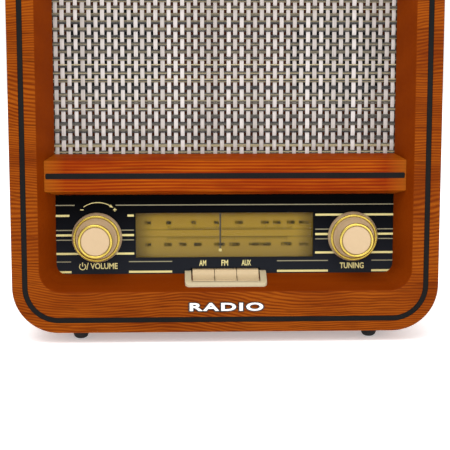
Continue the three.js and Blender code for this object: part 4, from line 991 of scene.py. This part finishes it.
FM_MARKS = [
    ("88", -42.1), ("92", -23.5), ("96", -6.5), ("100", 10.6),
    ("104", 30.1), ("106", 39.1), ("108", 49.6),
]
AM_MARKS = [
    ("530", -42.7), ("700", -31.7), ("800", -20.4), ("1000", -4.0), ("1200", 7.3),
    ("1400", 22.1), ("1600", 30.8), ("1700", 46.3),
]
FM_LINE, AM_LINE = 71.9, 66.5
FM_TEXT, AM_TEXT = 77.2, 60.7
DIGIT = 1.95  # width of one figure
FIGURE_TALL = 2.9
FIGURE_WEIGHT = 0.05
TICK_HALF = 0.26
TICK_STEP = 1.75
TICK_LONG, TICK_SHORT, TICK_LAST = 2.7, 1.8, 2.5
SCALE_LINE_HALF = 0.18
SCALE_PRINT = 0.06
# line, marks, the way its ticks point, and the height of its figures
WAVEBANDS = [(FM_LINE, FM_MARKS, 1, FM_TEXT), (AM_LINE, AM_MARKS, -1, AM_TEXT)]
SCALE_WORDS = [
    ("FM", -57.8, FM_TEXT, FIGURE_TALL, 4.6),
    ("AM", -57.8, AM_TEXT, FIGURE_TALL, 4.8),
    ("MHz", 59.4, FM_TEXT, FIGURE_TALL, 7.4),
    ("kHz", 59.5, AM_TEXT, FIGURE_TALL, 6.8),
]


def scale_print():
    """Two lines across the scale with ticks between the marks, the marks' figures, and the
    names of the wavebands."""
    ends = SCALE_Y - SCALE_PRINT, SCALE_Y + PRINT_SUNK
    low, high = span("dial_scale_plate")
    solids = []

    def tick(x, line, reach):
        z0, z1 = sorted((line, line + reach))
        solids.append(plate(x - TICK_HALF, x + TICK_HALF, z0, z1, *ends))

    for line, marks, way, text_z in WAVEBANDS:
        z0, z1 = line - SCALE_LINE_HALF, line + SCALE_LINE_HALF
        solids.append(plate(low[0] + 0.5, high[0] - 0.5, z0, z1, *ends))
        for (_, a), (_, b) in zip(marks, marks[1:]):
            count = max(3, round((b - a) / TICK_STEP))
            for n in range(count):
                tick(a + (b - a) * n / count, line, way * (TICK_LONG if n == 0 else TICK_SHORT))
        tick(marks[-1][1], line, way * TICK_LAST)
        for text, x in marks:
            wide = DIGIT * len(text)
            solids.append(words(text, x, text_z, FIGURE_TALL, wide, *ends, weight=FIGURE_WEIGHT))
    solids += [words(*row, *ends) for row in SCALE_WORDS]
    piece("scale_print", joined(*solids), "cabinet", PRINT_DARK, sharp=20)


TIP_R = 1.3


def pointer_tip():
    """A small pale button at the foot of the pointer."""
    x, _, _ = middle("dial_pointer")
    low, _ = span("dial_pointer")
    front = low[1] - 0.2
    corners = [(0, front), (1.1, front), (TIP_R, front + 0.5), (0.9, front + 1), (0, front + 1)]
    profile = eased(corners, 0.15, closed=False)
    tip = turned(profile, x, low[2] + TIP_R, 24)
    piece("pointer_tip", tip, "pointer", PRINT_PALE)


# ---------- knobs ----------

# depths from the panel
KNOB_FACE = -21.9
KNOB_STEP = -7.4  # the skirt's front edge
KNOB_REAR = -0.6
KNOB_HOLLOW = -3.6
KNOB_HUB = 6  # radius
KNOB_BORE = 3.3


def knob(name, x):
    """Two-tier knob: a sloping skirt and a cap, each with a gilt ring let into its edge."""
    face, step = KNOB_FACE, KNOB_STEP
    body = eased(
        [
            (0, face - 0.25), (10.2, face - 0.05), (10.45, face + 1), (12.3, face + 1),
            (12.6, face + 2.2), (14, step + 1), (15.4, step + 1), (17.4, step + 1.2),
            (18.75, KNOB_REAR), (17, KNOB_REAR), (16.5, KNOB_HOLLOW), (KNOB_HUB, KNOB_HOLLOW),
            (KNOB_HUB, KNOB_REAR), (KNOB_BORE, KNOB_REAR), (KNOB_BORE, face + 3.2), (0, face + 3.2),
        ],
        [0.5, 0.45, 0.2, 0.2, 0.5, 0.9, 0.3, 0.3, 0.5, 0.3, 0.3, 0.3, 0.3, 0.2, 0.2, 0.2],
        closed=False,
    )
    outer = eased(
        [
            (15.35, step + 1.2), (15.35, step + 0.2), (15.9, step - 0.4), (16.4, step - 0.35),
            (16.55, step - 0.1), (16.7, step - 0.3), (17.25, step), (17.45, step + 1.2),
        ],
        0.25,
    )
    inner = eased(
        [
            (10.7, face + 1.3), (10.7, face + 0.1), (11.3, face - 0.35), (12.1, face - 0.2),
            (12.65, face + 0.4), (12.75, face + 1.3),
        ],
        0.3,
    )

    def part(suffix, profile, slot, paint, closed):
        solid = turned(profile + [0, PANEL_Y], x, KNOB_Z, closed=closed)
        return piece(f"{name}_knob_{suffix}", solid, f"{name}_knob", paint)

    cap = part("cream", body, "cream_plastic", CREAM, False)
    skirt_ring = part("skirt_ring", outer, "gilt", GILT, True)
    cap_ring = part("cap_ring", inner, "gilt", GILT, True)
    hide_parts(f"{name}_knob")
    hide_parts(f"{name}_knob_outer_ring")
    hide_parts(f"{name}_knob_inner_ring")


# ---------- keys ----------


KEY_HEAD = 18.5  # depth at which the hollow face meets the upright top
KEY_REAR = 27
KEY_TOE = 0.6  # the face's lower edge, above the key's underside
STEM_FRONT = 26
STEM_HALF = 2
STEM_TOP = 4.4


def keys():
    """Three caps with a hollow face: a quarter ellipse from the upright top to the flat toe."""
    for node in ("am_key", "fm_key", "aux_key"):
        low, high = span(node)
        toe = low[1]
        a = np.radians(np.linspace(8, 90, 14))
        y = KEY_HEAD - (KEY_HEAD - toe) * (1 - np.cos(a))
        z = high[2] - (high[2] - low[2] - KEY_TOE) * np.sin(a)
        face = np.stack([y, z], -1)
        corners = [(KEY_REAR, low[2]), (KEY_REAR, high[2]), (KEY_HEAD, high[2]), face[0]]
        edges = eased(corners, [0.3, 0.5, 1.1, 0.3], 5, closed=False)
        section = np.concatenate([edges, face[1:], [(toe, low[2])]])
        cap = bar(section, low[0], high[0], 0.5)
        under, top = low[2] + KEY_TOE, low[2] + STEM_TOP
        square = [(STEM_FRONT, under), (high[1], under), (high[1], top), (STEM_FRONT, top)]
        x = (low[0] + high[0]) / 2
        stem = bar(eased(square, 0.3, 2), x - STEM_HALF, x + STEM_HALF, 0.3, 2)
        made = piece(f"{node}_cap", joined(cap, stem), node, KEY_CREAM)
        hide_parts(node)


LIP_TOP = 36.2  # floor under the keys
LIP_EDGE = 34.7  # and at the tray's front edge
LIP_RUN = 2.4  # from the one to the other
CHEEK = 25.4  # from the middle to a cheek
CHEEK_TOP = 38.6
BEZEL_CORNER = 3.4


def bezel():
    """Tray for the keys: a height over a plan with round front corners. The height is the floor
    under the keys, and beyond them it rises to the slope of the cheeks."""
    low, high = span("key_bezel")
    half, corner = high[0], BEZEL_CORNER
    straight = np.linspace(CHEEK + 0.15, half - corner, 4)
    rounded = half - corner + corner * np.sin(np.linspace(0.15, math.pi / 2, 10))
    side = np.concatenate([straight, rounded])
    x = np.concatenate([-side[::-1], np.linspace(-CHEEK, CHEEK, 21), side])
    front = low[1]
    over = np.clip(np.abs(x) - (half - corner), 0, corner)
    start = front + corner - np.sqrt(corner**2 - over**2)
    part = np.concatenate([[0, 0.01, 0.03], np.linspace(0.06, 0.2, 6), np.linspace(0.25, 1, 16)])
    y = start[:, None] + part[None] * (high[1] - start[:, None])
    run = y - start[:, None]
    lip = np.interp(run, [0, 0.15, LIP_RUN], [LIP_EDGE, LIP_EDGE + 0.25, LIP_TOP])
    cheek_top = np.interp(
        y,
        [front, front + LIP_RUN, 14, PANEL_Y - 1, 40],
        [LIP_EDGE, LIP_TOP, CHEEK_TOP, high[2], high[2]],
    )
    wall = np.clip((np.abs(x)[:, None] - CHEEK) / 0.12, 0, 1)
    z = lip + np.maximum(cheek_top - lip, 0) * wall
    z -= 0.5 * np.clip(1 - run / 0.6, 0, 1) ** 2
    z -= 0.3 * np.clip((np.abs(x)[:, None] - (half - 0.5)) / 0.5, 0, 1) ** 2
    grid_x = np.broadcast_to(x[:, None], y.shape)
    upper = np.stack([grid_x, y, z], -1)
    lower = np.stack([grid_x, y, np.full_like(y, low[2])], -1)
    tray = between(upper, lower)
    made = piece("key_bezel_tray", tray, "cabinet", BEZEL_CREAM, sharp=50)
    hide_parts("key_bezel")


# ---------- feet, badge, rear ----------


def feet():
    """Round feet, drawn in towards the floor."""
    for end in ("front", "rear"):
        for side in ("left", "right"):
            node = f"foot_{end}_{side}"
            x, y, _ = middle(node)
            low, high = span(node)
            corners = [
                (0, low[2]), (3.2, low[2]), (5.1, low[2] + 1.5),
                (5.9, low[2] + 4.4), (5.9, high[2]), (0, high[2]),
            ]
            profile = eased(corners, 1.2, closed=False)
            made = piece(f"{node}_rubber", upright(profile, x, y), "cabinet", RUBBER)
            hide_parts(node)


BADGE_SPACING = 1.2


def badge():
    """Raised letters on a slightly larger dark backing of the same letters."""
    x, _, z = middle("name_badge")
    low, high = span("name_badge")
    tall, wide = high[2] - low[2] - 1.2, high[0] - low[0] - 1
    face = words("RADIO", x, z, tall - 1.2, wide - 1.8, low[1], -0.3, BADGE_SPACING, 0.03)
    back = words("RADIO", x, z - 0.2, tall, wide, low[1] + 0.4, -0.05, BADGE_SPACING, 0.08)
    made = piece("badge_letters", face, "cabinet", BRIGHT, sharp=20)
    piece("badge_backing", back, "cabinet", LETTER_EDGE, sharp=20)
    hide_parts("name_badge")


SCREW_R = 1.5
HEAD_R = 3.6
HEAD = 2.1
SOCKET_R = 0.9
SOCKET = 0.9


def rear_screws():
    """Domed heads with a round socket in the middle."""
    for corner in ("top_left", "top_right", "bottom_left", "bottom_right"):
        node = f"rear_screw_{corner}"
        x, _, z = middle(node)
        low, high = span(node)
        top = high[1]
        corners = [
            (0, low[1]), (SCREW_R, low[1] + 2.5), (SCREW_R, top - HEAD), (HEAD_R, top - HEAD),
            (3.3, top - 0.7), (2.3, top - 0.2), (SOCKET_R, top - 0.1),
            (SOCKET_R, top - SOCKET), (0, top - SOCKET),
        ]
        profile = eased(corners, [0.3, 0.3, 0.1, 0.3, 0.8, 0.8, 0.1, 0.1, 0.1], closed=False)
        made = piece(f"{node}_steel", turned(profile, x, z, 48), "cabinet", BLACKED)
        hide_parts(node)


FINISHES = {
    "baffle_board": BOARD, "dial_panel": BLACK_PANEL, "dial_window": GLASS, "dial_scale_plate": SCALE,
    "light_box": WHITE_MOULDED, "lamp_board": CIRCUIT, "rear_cover": HARDBOARD, "main_board": CIRCUIT,
    "power_transformer": WINDING, "mains_inlet": BLACK_MOULDED, "aerial_socket": ZINC,
    "amplifier_heat_sink": ALLOY, "ferrite_rod": FERRITE, "ferrite_coil": WINDING,
    "ferrite_holder": WHITE_MOULDED, "volume_control": ZINC, "tuning_capacitor": WHITE_MOULDED,
    "dial_frame": ZINC, "pointer_rail": ZINC, "key_switch_bank": BLACK_MOULDED, "dial_cord": THREAD,
    "volume_shaft": ZINC, "tuning_shaft": BRASS, "dial_pointer": POINTER, "tuning_drum": WHITE_MOULDED,
    "left_pulley": WHITE_MOULDED, "right_pulley": WHITE_MOULDED,
}
for speaker in ("left", "right"):
    FINISHES[f"{speaker}_speaker_basket"] = BLACKED
    FINISHES[f"{speaker}_speaker_magnet"] = FERRITE
    FINISHES[f"{speaker}_speaker_surround"] = RUBBER
    FINISHES[f"{speaker}_speaker_cone"] = PAPER


def finish_nodes():
    """Give each carried-over node its material."""
    for name, paint in FINISHES.items():
        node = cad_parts[name]
        if not node.material_slots:
            node.data.materials.append(paint)
        node.material_slots[0].material = paint


# ---------- studio ----------

CAMERA_AT = (-34.15, -883.4, 200.4)
CAMERA_YAW = 0.0374  # radians
CAMERA_PITCH = 0.1361
LENS = 98.41
SENSOR = 36
FLOOR_SIZE = 12  # metres
FLOOR_GLOW = 0.35
SKY = 1.02
# name, watts, size, place and aim, in metres
LAMPS = [
    ("overhead", 16, (1.6, 1.2), (-0.35, -0.7, 1.5), (0, 0, 0.15)),
    ("front", 8, (1.2, 0.8), (0.8, -1.8, 0.7), (0, 0, 0.12)),
]


def lamp(name, power, size, at, aim):
    """A rectangular area lamp turned to face a point."""
    data = bpy.data.lights.new(name, "AREA")
    data.energy = power
    data.shape = "RECTANGLE"
    data.size, data.size_y = size
    made = bpy.data.objects.new(name, data)
    bpy.context.scene.collection.objects.link(made)
    made.location = at
    way = np.array(aim) - np.array(at)
    yaw = math.atan2(way[0], way[1])
    dip = math.atan2(-way[2], math.hypot(way[0], way[1]))
    made.rotation_euler = (math.pi / 2 - dip, 0, -yaw)


def studio():
    """A pale floor, a bright sky, a wide lamp overhead, a weaker one in front, and a camera."""
    bpy.ops.mesh.primitive_plane_add(size=FLOOR_SIZE, location=(0, 0, 0))
    floor = bpy.context.object
    floor.name = "studio_floor"
    pale, t, shader, place = new_material("pale floor")
    out = placed(t, CLOUD, Vector=place, Scale=3.0)
    tone = t.ramp(out["Cloud"], [(0.2, (0.96, 0.96, 0.96)), (0.8, (0.98, 0.98, 0.98))])
    t.tree.links.new(tone, shader.inputs["Base Color"])
    shader.inputs["Roughness"].default_value = 0.9
    shader.inputs["Emission Color"].default_value = (1, 1, 1, 1)
    shader.inputs["Emission Strength"].default_value = FLOOR_GLOW
    floor.data.materials.append(pale)

    world = bpy.data.worlds.new("studio")
    world.use_nodes = True
    sky = world.node_tree.nodes["Background"]
    sky.inputs["Color"].default_value = (1, 1, 1, 1)
    sky.inputs["Strength"].default_value = SKY
    bpy.context.scene.world = world

    for row in LAMPS:
        lamp(*row)

    data = bpy.data.cameras.new("camera")
    data.lens = LENS
    data.sensor_width = SENSOR
    camera = bpy.data.objects.new("camera", data)
    bpy.context.scene.collection.objects.link(camera)
    x, y, z = CAMERA_AT
    camera.location = (x * MM, (y + FRONT) * MM, (z + BASE) * MM)
    camera.rotation_euler = (math.pi / 2 - CAMERA_PITCH, 0, -CAMERA_YAW)
    bpy.context.scene.camera = camera
    bpy.context.scene.view_settings.view_transform = "Standard"


studio()
front_frame()
shell()
screw_posts()
frame_inlay()
centre_rail()
rail_inlay()
grille()
panel_lines("panel_thick_lines", THICK_LINE, PRINT_PALE)
panel_lines("panel_thin_lines", THIN_LINE, PRINT_DULL)
panel_marks()
scale_print()
pointer_tip()
knob("volume", -KNOB_X)
knob("tuning", KNOB_X)
keys()
bezel()
feet()
badge()
rear_screws()
finish_nodes()
